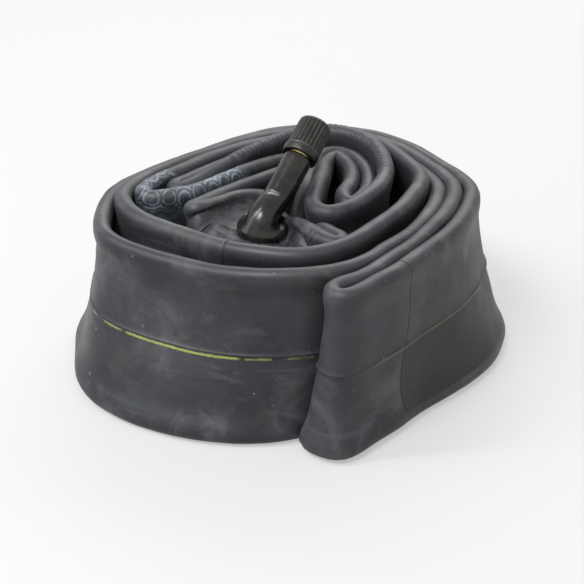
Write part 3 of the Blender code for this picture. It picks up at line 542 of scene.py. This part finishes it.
def tubeRelief(points, along, across, around):
    # seam flash on both faces, soft unevenness, the crease under the rim, ribs on the tight curl
    size = tubeSize
    column = across[None, :]
    outerFace = np.abs(around) < quarter
    relief = np.zeros(points.shape[:2])
    seam = np.exp(-((across / size["seamWidth"]) ** 2)) * size["seamHeight"]
    relief += seam[None, :]
    step = np.clip(across / 0.45, -1.0, 0.0) * size["seamStep"]
    relief += step[None, :] * np.exp(-np.abs(column) / 8.0)
    low, high = (alongAt(place) for place in stretches["groove"])
    groove = window(along, low, high, 18.0)[:, None] * np.exp(-(((column - size["grooveAt"]) / 1.3) ** 2))
    relief -= size["grooveDepth"] * groove * outerFace[None, :]
    low, high = (alongAt(place) for place in stretches["ribbed"])
    ribs = window(along, low, high, 8.0)[:, None] * np.clip((column - 15.0) / 5.0, 0.0, 1.0)
    wobble = np.sin(along * 0.37) * 1.3 + np.sin(along * 0.11 + 1.0) * 2.1
    relief += size["ribHeight"] * ribs * np.sin(2.0 * math.pi * along / size["ribPitch"] + wobble)[:, None]
    low, high = (alongAt(place) for place in stretches["valve"])
    ridge = window(along, low, high, 4.0)[:, None] * np.exp(-(((column + 4.5) / 3.5) ** 2))
    ripple = np.sin(2.0 * math.pi * along / size["ridgePitch"] + wobble)[:, None]
    relief += size["ridgeHeight"] * ridge * ripple
    for i in range(points.shape[0]):
        for j in range(points.shape[1]):
            place = Vector(points[i, j])
            relief[i, j] += sum(height * noise.noise(place / reach) for height, reach in size["unevenness"])
    return relief


def buildTube(skin):
    points, outwards, along, across, around = tubeSurface()
    points = points + outwards * tubeRelief(points, along, across, around)[..., None]
    rowCount, columnCount = points.shape[:2]
    bm = bmesh.new()
    bm.loops.layers.uv.new("tubePlace")
    bmesh.ops.create_grid(bm, x_segments=rowCount, y_segments=columnCount, size=0.5, calc_uvs=True)
    mesh = bpy.data.meshes.new("innerTube")
    bm.to_mesh(mesh)
    bm.free()
    # the flat grid is rolled round the ring
    flat = np.zeros(len(mesh.vertices) * 3)
    mesh.vertices.foreach_get("co", flat)
    flat = flat.reshape(-1, 3)
    i = np.rint((flat[:, 0] + 0.5) * rowCount).astype(int)
    j = np.rint((flat[:, 1] + 0.5) * columnCount).astype(int)
    rolled = points[i % rowCount, j % columnCount] * mm
    mesh.vertices.foreach_set("co", rolled.ravel())
    layer = mesh.uv_layers["tubePlace"]
    uv = np.zeros(len(layer.uv) * 2)
    layer.uv.foreach_get("vector", uv)
    uv = uv.reshape(-1, 2)
    i = np.rint(uv[:, 0] * rowCount).astype(int)
    j = np.rint(uv[:, 1] * columnCount).astype(int)
    alongAll = np.append(along, ringLength)
    aroundAll = np.append(around, around[0] + 4 * quarter)
    uv = np.stack([alongAll[i], aroundAll[j]], axis=1)
    layer.uv.foreach_set("vector", uv.astype(np.float32).ravel())
    bm = bmesh.new()
    bm.from_mesh(mesh)
    bmesh.ops.remove_doubles(bm, verts=bm.verts, dist=1e-7)
    bmesh.ops.recalc_face_normals(bm, faces=bm.faces)
    for face in bm.faces:
        face.smooth = True
    bm.to_mesh(mesh)
    bm.free()
    tube = bpy.data.objects.new("innerTube", mesh)
    bpy.context.scene.collection.objects.link(tube)
    mesh.materials.append(skin)
    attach(tube, "tube")
    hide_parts("tube_body")
    print("tube rolled:", len(mesh.polygons), "faces")
    return tube


class Wire:
    # a node socket that takes part in Python sums
    def __init__(self, tree, socket=None):
        self.tree = tree
        self.socket = socket

    def make(self, kind, settings=None, inputs=None, output=0):
        node = self.tree.nodes.new(kind)
        for name, value in (settings or {}).items():
            setattr(node, name, value)
        for name, value in (inputs or {}).items():
            if isinstance(value, Wire):
                self.tree.links.new(value.socket, node.inputs[name])
            else:
                node.inputs[name].default_value = value
        return Wire(self.tree, node.outputs[output])

    def math(self, operation, *others):
        return self.make("ShaderNodeMath", {"operation": operation}, dict(enumerate((self, *others))))

    def __add__(self, other):
        return self.math("ADD", other)

    def __sub__(self, other):
        return self.math("SUBTRACT", other)

    def __rsub__(self, other):
        return self.make("ShaderNodeMath", {"operation": "SUBTRACT"}, {0: other, 1: self})

    def __mul__(self, other):
        return self.math("MULTIPLY", other)

    def __truediv__(self, other):
        return self.math("DIVIDE", other)

    __radd__ = __add__
    __rmul__ = __mul__

    def step(self, low, high):
        # smooth 0 to 1 as this runs from low to high
        settings = {"interpolation_type": "SMOOTHSTEP"}
        inputs = {"Value": self, "From Min": low, "From Max": high}
        if high < low:
            inputs = {"Value": self * -1.0, "From Min": -low, "From Max": -high}
        return self.make("ShaderNodeMapRange", settings, inputs)

    def near(self, centre, width):
        # 1 at centre, 0 beyond width
        return (self - centre).math("ABSOLUTE").step(width, 0.0)

    def noise(self, place, scale, detail=3.0, rough=0.55, distort=0.0):
        inputs = {"Vector": place, "Scale": scale, "Detail": detail, "Roughness": rough,
                  "Distortion": distort}
        return self.make("ShaderNodeTexNoise", {"noise_dimensions": "3D"}, inputs)

    def mixColour(self, first, second):
        # first where this is 0, second where it is 1
        first = first if isinstance(first, Wire) else (*first, 1.0)
        second = second if isinstance(second, Wire) else (*second, 1.0)
        return self.make("ShaderNodeMix", {"data_type": "RGBA"}, {0: self, 6: first, 7: second}, 2)


def startMaterial(name):
    made = bpy.data.materials.new(name)
    made.use_nodes = True
    tree = made.node_tree
    shader = tree.nodes["Principled BSDF"]
    return made, Wire(tree), shader


def feed(shader, wire, name):
    wire.tree.links.new(wire.socket, shader.inputs[name])


def bumpFrom(kit, height, distance):
    return kit.make("ShaderNodeBump", {}, {"Strength": 1.0, "Distance": distance, "Height": height})


butylLook = {
    "base": (0.0222, 0.0238, 0.0272),
    "dark": (0.0090, 0.0098, 0.0135),
    "dusty": (0.0560, 0.0585, 0.0625),
    "brown": (0.0330, 0.0300, 0.0250),
    "blue": (0.0180, 0.0225, 0.0360),
    # painted shade colour for the lower outer face past the first splice
    "oliveShade": (0.0060, 0.0064, 0.0050),
    "ink": (0.26, 0.30, 0.075),
    "talc": (0.17, 0.205, 0.245),
    "speck": (0.20, 0.21, 0.21),
    # painted shadow colour along the mould lines
    "spliceLine": (0.004, 0.004, 0.005),
    "seamShadow": (0.005, 0.005, 0.006),
    "rough": 0.46,
    "bump": 0.00022,
    "firstSplice": 4.35,  # station of each line where the tube was joined
    "secondSplice": innerStart + 78.3,
    "talcRim": 22.0,  # round the section
    "talcCell": 4.3,  # mm between the crescents
}


def stretchMask(along, name, fade):
    low, high = (alongAt(place) for place in stretches[name])
    return along.step(low - fade, low + fade) * along.step(high + fade, high - fade)


def splice(along, around, place, slant, wave):
    # signed distance to a line across the tube, a little slanted and wavy
    drift = around * slant + (around * 0.16).math("SINE") * wave
    return along - alongAt(place) - drift


def makeButyl():
    made, kit, shader = startMaterial("butylRubber")
    place = kit.make("ShaderNodeTexCoord", {}, {}, 3)
    uv = kit.make("ShaderNodeUVMap", {"uv_map": "tubePlace"}, {})
    along = kit.make("ShaderNodeSeparateXYZ", {}, {0: uv}, 0)
    around = kit.make("ShaderNodeSeparateXYZ", {}, {0: uv}, 1)
    # stretched along the tube, as scuffs from rolling are
    scuffPlace = kit.make("ShaderNodeMapping", {}, {"Vector": uv, "Scale": (0.05, 0.16, 1.0)})
    streakPlace = kit.make("ShaderNodeMapping", {}, {"Vector": uv, "Scale": (0.02, 0.9, 1.0)})

    clouds = kit.noise(place, 28.0, 5.0, 0.6, 0.4)
    patches = kit.noise(place, 75.0, 6.0, 0.62, 0.8)
    bloom = kit.noise(place, 46.0, 8.0, 0.7, 1.2)
    scuffs = kit.noise(scuffPlace, 1.0, 6.0, 0.65, 0.6)
    streaks = kit.noise(streakPlace, 1.0, 4.0, 0.6, 0.2)
    grain = kit.noise(place, 900.0, 4.0, 0.6)
    speckNoise = kit.noise(place, 520.0, 2.0, 0.5)
    fineNoise = kit.noise(place, 3200.0, 2.0, 0.5)

    colour = clouds.step(0.36, 0.64).mixColour(butylLook["dark"], butylLook["base"])
    colour = (bloom.step(0.48, 0.72) * 0.75).mixColour(colour, butylLook["dusty"])
    colour = (patches.step(0.52, 0.70) * 0.35).mixColour(colour, butylLook["brown"])
    colour = (patches.step(0.46, 0.30) * 0.40).mixColour(colour, butylLook["blue"])
    colour = (scuffs.step(0.56, 0.74) * 0.45).mixColour(colour, butylLook["dusty"])
    colour = (streaks.step(0.60, 0.72) * 0.30).mixColour(colour, butylLook["dusty"])
    specks = speckNoise.step(0.755, 0.775)
    colour = (specks * 0.6).mixColour(colour, butylLook["speck"])

    # painted shade: the lower half of the outer face, from the first splice along the crease stretch, is
    # darkened to a near-black olive
    first = splice(along, around, butylLook["firstSplice"], 0.05, 1.6)
    shadeBelowSeam = around.step(0.3, -0.3) * first.step(-0.6, 0.6) * stretchMask(along, "crease", 3.0)
    colour = (shadeBelowSeam * 0.92).mixColour(colour, butylLook["oliveShade"])
    second = splice(along, around, butylLook["secondSplice"], 0.04, 1.0)
    splices = first.near(0.0, 0.5) + second.near(0.0, 0.5)
    colour = (splices * 0.8).mixColour(colour, butylLook["spliceLine"])

    # ink on the seam: a broken line just under the flash of the outer face
    inkNoise = kit.noise(streakPlace, 7.0, 3.0, 0.6)
    inkEdge = kit.noise(uv, 0.9, 3.0, 0.6) * 0.7
    inkLine = (around + 0.75 + inkEdge - 0.35).near(0.0, 0.62)
    strong = stretchMask(along, "inkStrong", 1.0)
    pale = stretchMask(along, "inkPale", 2.0)
    dashes = (along * 0.55).math("SINE").step(-0.6, -0.2)
    foldInk = stretchMask(along, "crease", 2.0) * inkNoise.step(0.42, 0.60) * 0.55
    ink = strong * inkNoise.step(0.30, 0.42) + (1.0 - strong) * pale * dashes * inkNoise.step(0.44, 0.55)
    ink = (ink + foldInk).math("MINIMUM", 1.0) * inkLine
    # painted shadow: a dark line along both mould lines, where the flash shades the face
    crease = around.near(0.0, 0.55) + (around - 2 * quarter).near(0.0, 0.5)
    colour = (crease * 0.6).mixColour(colour, butylLook["seamShadow"])
    colour = ink.mixColour(colour, butylLook["ink"])

    # talc: overlapping crescents on the rim of the tight turn, and a bloom between them
    rimPlace = around - butylLook["talcRim"]
    talcMask = stretchMask(along, "talc", 3.0)
    cells = (along / butylLook["talcCell"]).math("FLOOR")
    spot = (along / butylLook["talcCell"] - cells - 0.5) * butylLook["talcCell"]
    jitter = kit.make("ShaderNodeTexWhiteNoise", {"noise_dimensions": "1D"}, {"W": cells})
    depth = rimPlace * -1.0 + jitter * 2.4
    radius = (spot * spot + depth * depth).math("SQRT")
    rings = radius.near(2.9, 0.55) + radius.near(1.7, 0.4) * 0.7 + radius.near(3.9, 0.4) * 0.5
    reach = around.step(14.0, 17.5) * around.step(33.0, 28.5)
    haze = kit.noise(place, 260.0, 6.0, 0.7, 0.5)
    talc = talcMask * reach * (rings * haze.step(0.30, 0.55) + haze.step(0.42, 0.72) * 0.55)
    talc = (talc * 0.8).math("MINIMUM", 0.85)
    # dusty rim of the strand that carries the valve
    valveMask = stretchMask(along, "valve", 2.0)
    valveDust = valveMask * haze.step(0.44, 0.68) * 0.8
    colour = valveDust.mixColour(colour, butylLook["dusty"])
    colour = talc.mixColour(colour, butylLook["talc"])
    feed(shader, colour, "Base Color")

    polish = kit.noise(place, 60.0, 5.0, 0.6, 0.3)
    rough = butylLook["rough"] + (polish - 0.5) * 0.34 + scuffs * 0.06 + talc * 0.35 + ink * 0.1
    feed(shader, rough, "Roughness")
    shader.inputs["Specular IOR Level"].default_value = 0.36
    shader.inputs["Sheen Weight"].default_value = 0.03
    shader.inputs["Sheen Roughness"].default_value = 0.4

    # fine ribs on the curl and beside the valve, scratches, grain
    ribbed = stretchMask(along, "ribbed", 5.0) * around.step(13.0, 20.0) * around.step(40.0, 30.0)
    ribPlace = kit.make("ShaderNodeMapping", {}, {"Vector": uv, "Scale": (0.85, 0.10, 1.0)})
    ribNoise = kit.noise(ribPlace, 1.0, 2.0, 0.5, 0.6)
    valveRibs = valveMask * (around + 5.0).near(0.0, 6.0)
    height = grain * 0.10 + fineNoise * 0.05 + scuffs * 0.30 + patches * 0.25
    height = height + ribbed * ribNoise * 1.6 + valveRibs * ribNoise * 1.2
    height = height - splices * 0.9 + specks * 0.25 + talc * 0.2 + ink * 0.15
    feed(shader, bumpFrom(kit, height, butylLook["bump"]), "Normal")
    return made


mouldedLook = {
    "deep": (0.0045, 0.0045, 0.004),
    "pale": (0.014, 0.0135, 0.011),
    "dust": (0.05, 0.05, 0.045),
    "rough": 0.15,
    "specular": 0.38,
}


def makeMouldedRubber():
    made, kit, shader = startMaterial("mouldedRubber")
    place = kit.make("ShaderNodeTexCoord", {}, {}, 3)
    smear = kit.noise(place, 260.0, 5.0, 0.6, 0.5)
    dust = kit.noise(place, 900.0, 4.0, 0.7)
    colour = smear.step(0.40, 0.66).mixColour(mouldedLook["deep"], mouldedLook["pale"])
    colour = (dust.step(0.66, 0.74) * 0.4).mixColour(colour, mouldedLook["dust"])
    feed(shader, colour, "Base Color")
    feed(shader, mouldedLook["rough"] + smear * 0.14 + dust.step(0.62, 0.74) * 0.25, "Roughness")
    shader.inputs["Specular IOR Level"].default_value = mouldedLook["specular"]
    feed(shader, bumpFrom(kit, smear * 0.6 + dust * 0.25, 0.00008), "Normal")
    return made


capLook = {
    "deep": (0.0045, 0.0045, 0.004),
    "pale": (0.016, 0.015, 0.011),
    "grit": (0.045, 0.042, 0.034),
    "rough": 0.27,
    "specular": 0.40,
}


def makeCapPlastic():
    made, kit, shader = startMaterial("capPlastic")
    place = kit.make("ShaderNodeTexCoord", {}, {}, 3)
    cloud = kit.noise(place, 420.0, 5.0, 0.65, 0.4)
    grit = kit.noise(place, 1900.0, 3.0, 0.6)
    colour = cloud.step(0.42, 0.68).mixColour(capLook["deep"], capLook["pale"])
    colour = (grit.step(0.68, 0.78) * 0.5).mixColour(colour, capLook["grit"])
    feed(shader, colour, "Base Color")
    feed(shader, capLook["rough"] + cloud * 0.18 + grit * 0.06, "Roughness")
    shader.inputs["Specular IOR Level"].default_value = capLook["specular"]
    feed(shader, bumpFrom(kit, cloud * 0.4 + grit * 0.4, 0.00006), "Normal")
    return made


# pale and deep colour, roughness, metallic
metalLooks = {
    "turnedBrass": ((0.78, 0.58, 0.26), (0.46, 0.32, 0.13), 0.22, 1.0),
    "drawnSteel": ((0.62, 0.62, 0.64), (0.40, 0.40, 0.42), 0.22, 1.0),
    "redSeal": ((0.34, 0.03, 0.02), (0.20, 0.015, 0.01), 0.5, 0.0),
}


def makeTurned(name):
    pale, deep, rough, metallic = metalLooks[name]
    made, kit, shader = startMaterial(name)
    place = kit.make("ShaderNodeTexCoord", {}, {}, 3)
    tarnish = kit.noise(place, 500.0, 5.0, 0.6, 0.4)
    marks = kit.noise(place, 2400.0, 3.0, 0.6)
    colour = tarnish.step(0.38, 0.66).mixColour(deep, pale)
    feed(shader, colour, "Base Color")
    feed(shader, rough + tarnish * 0.16 + marks * 0.05, "Roughness")
    shader.inputs["Metallic"].default_value = metallic
    feed(shader, bumpFrom(kit, tarnish * 0.3 + marks * 0.3, 0.00004), "Normal")
    return made


valveSize = {
    # distance from the foot and radius, mm: the bonded edge, the foot, the bend
    "foot": ((-1.2, 7.2), (-0.35, 7.2), (0.05, 7.1), (0.3, 6.85), (0.55, 6.4), (0.85, 5.9), (1.25, 5.4),
             (1.8, 5.0), (2.6, 4.7), (3.6, 4.45), (5.0, 4.3), (7.0, 4.2)),
    "stemRadius": 4.15,
    "bendEnd": 9.0,
    "bendLead": 0.45,
    "rim": ((22.0, 4.15), (22.8, 4.14), (23.3, 4.1), (23.55, 4.02), (23.68, 3.9), (23.7, 3.7), (23.7, 3.2)),
    "capStart": 23.82,
    "capEnd": 36.2,
    "capCollar": 5.3,
    "capGrip": 5.05,
    "capRibs": 24,
    "ribDepth": 0.42,
    "ribShape": 1.6,  # higher is narrower grooves
    "capBore": 4.25,
    "threadStart": 24.2,
    "threadEnd": 33.6,
    "threadRadius": 3.85,
    "threadPitch": 0.794,
    "threadBore": 2.6,
}


def axisMatrix():
    # from drawing along z at the origin to the valve's own place
    level = stemAxis.cross(Vector((0.0, 0.0, 1.0))).normalized()
    third = stemAxis.cross(level)
    return Matrix.Translation(footPoint) @ Matrix((level, third, stemAxis)).transposed().to_4x4()


def footNormal():
    # the foot is bonded square to the tube under it
    low, high = atStation(len(outerLap) + 5.0, knots), atStation(len(outerLap) + 7.0, knots)
    frames = ringSpline(knots, coarse.reshape(-1, 12), np.array([low, high])).reshape(-1, 4, 3)
    ahead = Vector(frames[1, 1] - frames[0, 1])
    rise = Vector(frames[0, 0] - frames[0, 1])
    normal = ahead.cross(rise).normalized()
    return normal if normal.z > 0.0 else -normal, ahead.normalized()


def stemCentre(distance, start):
    # the stem leaves the foot square and bends over to its axis
    if distance >= valveSize["bendEnd"] * mm:
        return footPoint + stemAxis * distance, stemAxis.copy()
    whole = valveSize["bendEnd"] * mm
    part = distance / whole
    lead = footPoint + start * whole * valveSize["bendLead"]
    end = footPoint + stemAxis * whole
    point = footPoint * (1 - part) ** 2 + lead * 2 * part * (1 - part) + end * part**2
    way = ((lead - footPoint) * (1 - part) + (end - lead) * part).normalized()
    return point, way


def finishPiece(name, bm, skin):
    bmesh.ops.remove_doubles(bm, verts=bm.verts, dist=1e-7)
    bmesh.ops.recalc_face_normals(bm, faces=bm.faces)
    for face in bm.faces:
        face.smooth = True
    mesh = bpy.data.meshes.new(name)
    bm.to_mesh(mesh)
    bm.free()
    mesh.materials.append(skin)
    piece = bpy.data.objects.new(name, mesh)
    bpy.context.scene.collection.objects.link(piece)
    return piece


def buildStem(skin):
    start, ahead = footNormal()
    size = valveSize
    profile = list(size["foot"])
    profile += [(8.0 + 1.2 * k, size["stemRadius"]) for k in range(12)]
    profile += size["rim"]
    bm = bmesh.new()
    rim = bmesh.ops.create_circle(bm, cap_ends=False, segments=64, radius=1.0)["verts"]
    circle = [vert.co.copy() for vert in rim]
    ring = list(rim)
    for index, (distance, radius) in enumerate(profile):
        if index:
            # only the last ring is carried on
            edges = list({edge for vert in ring for edge in vert.link_edges
                          if all(end in ring for end in edge.verts)})
            grown = bmesh.ops.extrude_edge_only(bm, edges=edges)["geom"]
            twins = [element for element in grown if isinstance(element, bmesh.types.BMVert)]
            twins.sort(key=lambda vert: min(range(len(ring)), key=lambda k: (ring[k].co - vert.co).length))
            ring = twins
        centre, way = stemCentre(max(distance, 0.0) * mm, start)
        centre = centre + start * min(distance, 0.0) * mm
        xWay = (ahead - way * ahead.dot(way)).normalized()
        yWay = way.cross(xWay)
        for vert, place in zip(ring, circle):
            vert.co = centre + (xWay * place.x + yWay * place.y) * radius * mm
    stem = finishPiece("valveStem", bm, skin)
    footPoint + start * valveSize["bendEnd"] * mm
    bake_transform(stem)
    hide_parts("valve_stem_rubber")
    return stem


def spinProfile(bm, profile, steps):
    verts = [bm.verts.new((radius * mm, 0.0, distance * mm)) for radius, distance in profile]
    edges = [bm.edges.new(pair) for pair in zip(verts, verts[1:])]
    bmesh.ops.spin(bm, geom=verts + edges, cent=(0, 0, 0), axis=(0, 0, 1), angle=2.0 * math.pi,
                   steps=steps, use_merge=True)


def buildCap(skin):
    size = valveSize
    grip = size["capGrip"]
    collar = size["capCollar"]
    low, high, bore = size["capStart"], size["capEnd"], size["capBore"]
    profile = [(0.0, high), (grip - 1.6, high), (grip - 0.9, high - 0.12), (grip - 0.45, high - 0.4),
               (grip - 0.12, high - 0.9), (grip, high - 1.5)]
    profile += [(grip, high - 1.5 - 0.9 * k) for k in range(1, 8)]
    profile += [(grip, low + 3.2), (grip - 0.05, low + 2.95), (grip + 0.05, low + 2.7)]
    profile += [(collar - 0.05, low + 2.45), (collar, low + 2.2), (collar, low + 0.6)]
    profile += [(collar - 0.1, low + 0.25), (collar - 0.3, low + 0.05), (collar - 0.5, low)]
    profile += [(bore + 0.2, low), (bore, low + 0.3), (bore, high - 1.3), (0.0, high - 1.1)]
    bm = bmesh.new()
    perRib = 8
    spinProfile(bm, profile, size["capRibs"] * perRib)
    for vert in bm.verts:
        radius = math.hypot(vert.co.x, vert.co.y)
        height = vert.co.z / mm
        inGrip = radius > (grip - 1.0) * mm and low + 2.75 < height
        if not inGrip:
            continue
        turn = math.atan2(vert.co.y, vert.co.x) * size["capRibs"]
        groove = max(0.0, 0.5 - 0.5 * math.cos(turn)) ** size["ribShape"]
        fade = min(1.0, max(0.0, (high - 0.15 - height) / 1.1)) * min(1.0, (height - low - 2.75) / 0.5)
        sink = size["ribDepth"] * mm * groove * fade
        vert.co.x *= (radius - sink) / radius
        vert.co.y *= (radius - sink) / radius
    bmesh.ops.transform(bm, matrix=axisMatrix(), verts=bm.verts)
    cap = finishPiece("dustCap", bm, skin)
    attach(cap, "cap")
    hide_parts("dust_cap")
    return cap


def buildThread(skin):
    # one tooth profile for the whole length, spun with a rise of one pitch
    size = valveSize
    pitch = size["threadPitch"]
    outer = size["threadRadius"]
    turns = int((size["threadEnd"] - size["threadStart"]) / pitch) - 1
    start = size["threadStart"] + 0.5 * pitch
    bm = bmesh.new()
    profile = []
    for tooth in range(turns):
        low = start + tooth * pitch
        profile += [(outer - 0.42, low), (outer - 0.04, low + 0.33 * pitch), (outer, low + 0.42 * pitch),
                    (outer - 0.04, low + 0.5 * pitch)]
    profile.append((outer - 0.42, start + turns * pitch))
    verts = [bm.verts.new((radius * mm, 0.0, distance * mm)) for radius, distance in profile]
    edges = [bm.edges.new(pair) for pair in zip(verts, verts[1:])]
    steps = 48
    bmesh.ops.spin(bm, geom=verts + edges, cent=(0, 0, 0), axis=(0, 0, 1), dvec=(0, 0, pitch * mm / steps),
                   angle=2.0 * math.pi, steps=steps, use_merge=False)
    # the plain body inside the thread, bored through
    body = [(size["threadBore"], size["threadEnd"]), (outer - 0.75, size["threadEnd"]),
            (outer - 0.4, size["threadEnd"] - 0.35), (outer - 0.4, size["threadStart"]), (3.0, 23.76),
            (3.0, 11.0), (1.9, 11.0), (1.9, 18.8), (2.3, 19.4), (2.3, 27.6),
            (size["threadBore"], 27.9), (size["threadBore"], size["threadEnd"])]
    spinProfile(bm, body, 48)
    bmesh.ops.transform(bm, matrix=axisMatrix(), verts=bm.verts)
    brass = finishPiece("threadedInsert", bm, skin)
    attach(brass, "stem")
    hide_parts("valve_stem_brass")
    return brass


springSize = {
    "low": 22.3,  # mm along the valve: the barrel's shoulder
    "high": 26.3,  # just under the pin's collar
    "wire": 0.18,
    "radius": 0.98,
    "turns": 5,
    "press": 1.2,
}


def buildSpring(skin):
    # one round section carried along the helix
    size = springSize
    perTurn = 24
    low = size["low"] + size["wire"]
    high = size["high"] - size["wire"]
    count = size["turns"] * perTurn
    bm = bmesh.new()
    lift = Matrix.Translation((0.0, 0.0, low * mm))
    section = bmesh.ops.create_circle(bm, cap_ends=False, segments=10, radius=size["wire"] * mm)["verts"]
    aside = Matrix.Translation((size["radius"] * mm, 0.0, 0.0))
    upright = Matrix.Rotation(math.pi / 2.0, 4, "X")
    bmesh.ops.transform(bm, matrix=lift @ aside @ upright, verts=section)
    rim = list({edge for vert in section for edge in vert.link_edges})
    rise = (high - low) / count * mm
    bmesh.ops.spin(bm, geom=list(section) + rim, cent=(0, 0, 0), axis=(0, 0, 1), dvec=(0, 0, rise),
                   angle=2.0 * math.pi * size["turns"], steps=count, use_merge=False)
    bmesh.ops.holes_fill(bm, edges=[edge for edge in bm.edges if edge.is_boundary], sides=0)
    bmesh.ops.transform(bm, matrix=axisMatrix(), verts=bm.verts)
    spring = finishPiece("coreSpring", bm, skin)
    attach(spring, "core")
    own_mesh(spring)
    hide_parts("core_spring")


stageLook = {
    "floor": (0.22, 0.22, 0.22),
    "floorGlow": 0.42,
    "world": (0.913, 0.913, 0.913),
    "lens": 102.1,
    "target": (0.16, -12.23, 23.2),  # mm
    "eye": (0.16, -436.05, 248.5),
    "lightAim": (0.0, 0.0, 0.03),
    # place and size in m, power; the small panel draws the narrow glints on the stem and the rims
    "lights": {
        "glintLight": ((-0.42, -0.10, 0.62), (0.06, 0.40), 2.2),
        "keyLight": ((-0.30, -0.45, 0.75), (0.35, 0.25), 6.5),
        "backLight": ((0.15, 0.60, 0.55), (0.7, 0.3), 4.0),
        "sideLight": ((-0.65, -0.05, 0.45), (0.3, 0.5), 1.2),
    },
}


def addLight(name, place, size, power):
    data = bpy.data.lights.new(name, "AREA")
    data.shape = "RECTANGLE"
    data.size, data.size_y = size
    data.energy = power
    light = bpy.data.objects.new(name, data)
    bpy.context.scene.collection.objects.link(light)
    light.location = place
    aim = Vector(stageLook["lightAim"])
    light.rotation_euler = (aim - Vector(place)).to_track_quat("-Z", "Y").to_euler()


def setStage():
    scene = bpy.context.scene
    scene.view_settings.view_transform = "Standard"
    bm = bmesh.new()
    bmesh.ops.create_grid(bm, x_segments=2, y_segments=2, size=3.0)
    bmesh.ops.translate(bm, vec=(0.0, 0.0, cadLow.z - 0.0002), verts=bm.verts)
    made, _, shader = startMaterial("paleFloor")
    shader.inputs["Base Color"].default_value = (*stageLook["floor"], 1.0)
    shader.inputs["Roughness"].default_value = 0.9
    shader.inputs["Emission Color"].default_value = (1.0, 1.0, 1.0, 1.0)
    shader.inputs["Emission Strength"].default_value = stageLook["floorGlow"]
    floor = finishPiece("floor", bm, made)
    world = scene.world or bpy.data.worlds.new("studio")
    scene.world = world
    world.use_nodes = True
    background = world.node_tree.nodes["Background"]
    background.inputs[0].default_value = (*stageLook["world"], 1.0)
    background.inputs[1].default_value = 1.0
    for name, (place, size, power) in stageLook["lights"].items():
        addLight(name, place, size, power)
    data = bpy.data.cameras.new("camera")
    data.lens = stageLook["lens"]
    data.sensor_width = 36.0
    camera = bpy.data.objects.new("camera", data)
    scene.collection.objects.link(camera)
    eye = Vector(stageLook["eye"]) * mm
    target = Vector(stageLook["target"]) * mm
    camera.location = eye
    camera.rotation_euler = (target - eye).to_track_quat("-Z", "Y").to_euler()
    data.clip_start, data.clip_end = 0.01, 10.0
    scene.camera = camera


def dressCore(brassSkin):
    # the core keeps its drawn shapes, apart from the spring, and takes these skins
    steel = makeTurned("drawnSteel")
    seal = makeTurned("redSeal")
    skins = {"core_barrel": brassSkin, "core_swivel": brassSkin, "core_cup": brassSkin,
             "core_pin": steel, "core_gasket": seal, "core_cup_seal": seal}
    for node, skin in skins.items():
        mesh = frame["nodes"][node].data
        mesh.materials.clear()
        mesh.materials.append(skin)
    buildSpring(steel)


setStage()
print("stage set")
buildTube(makeButyl())
buildStem(makeMouldedRubber())
buildCap(makeCapPlastic())
brassSkin = makeTurned("turnedBrass")
buildThread(brassSkin)
dressCore(brassSkin)
print("valve built")
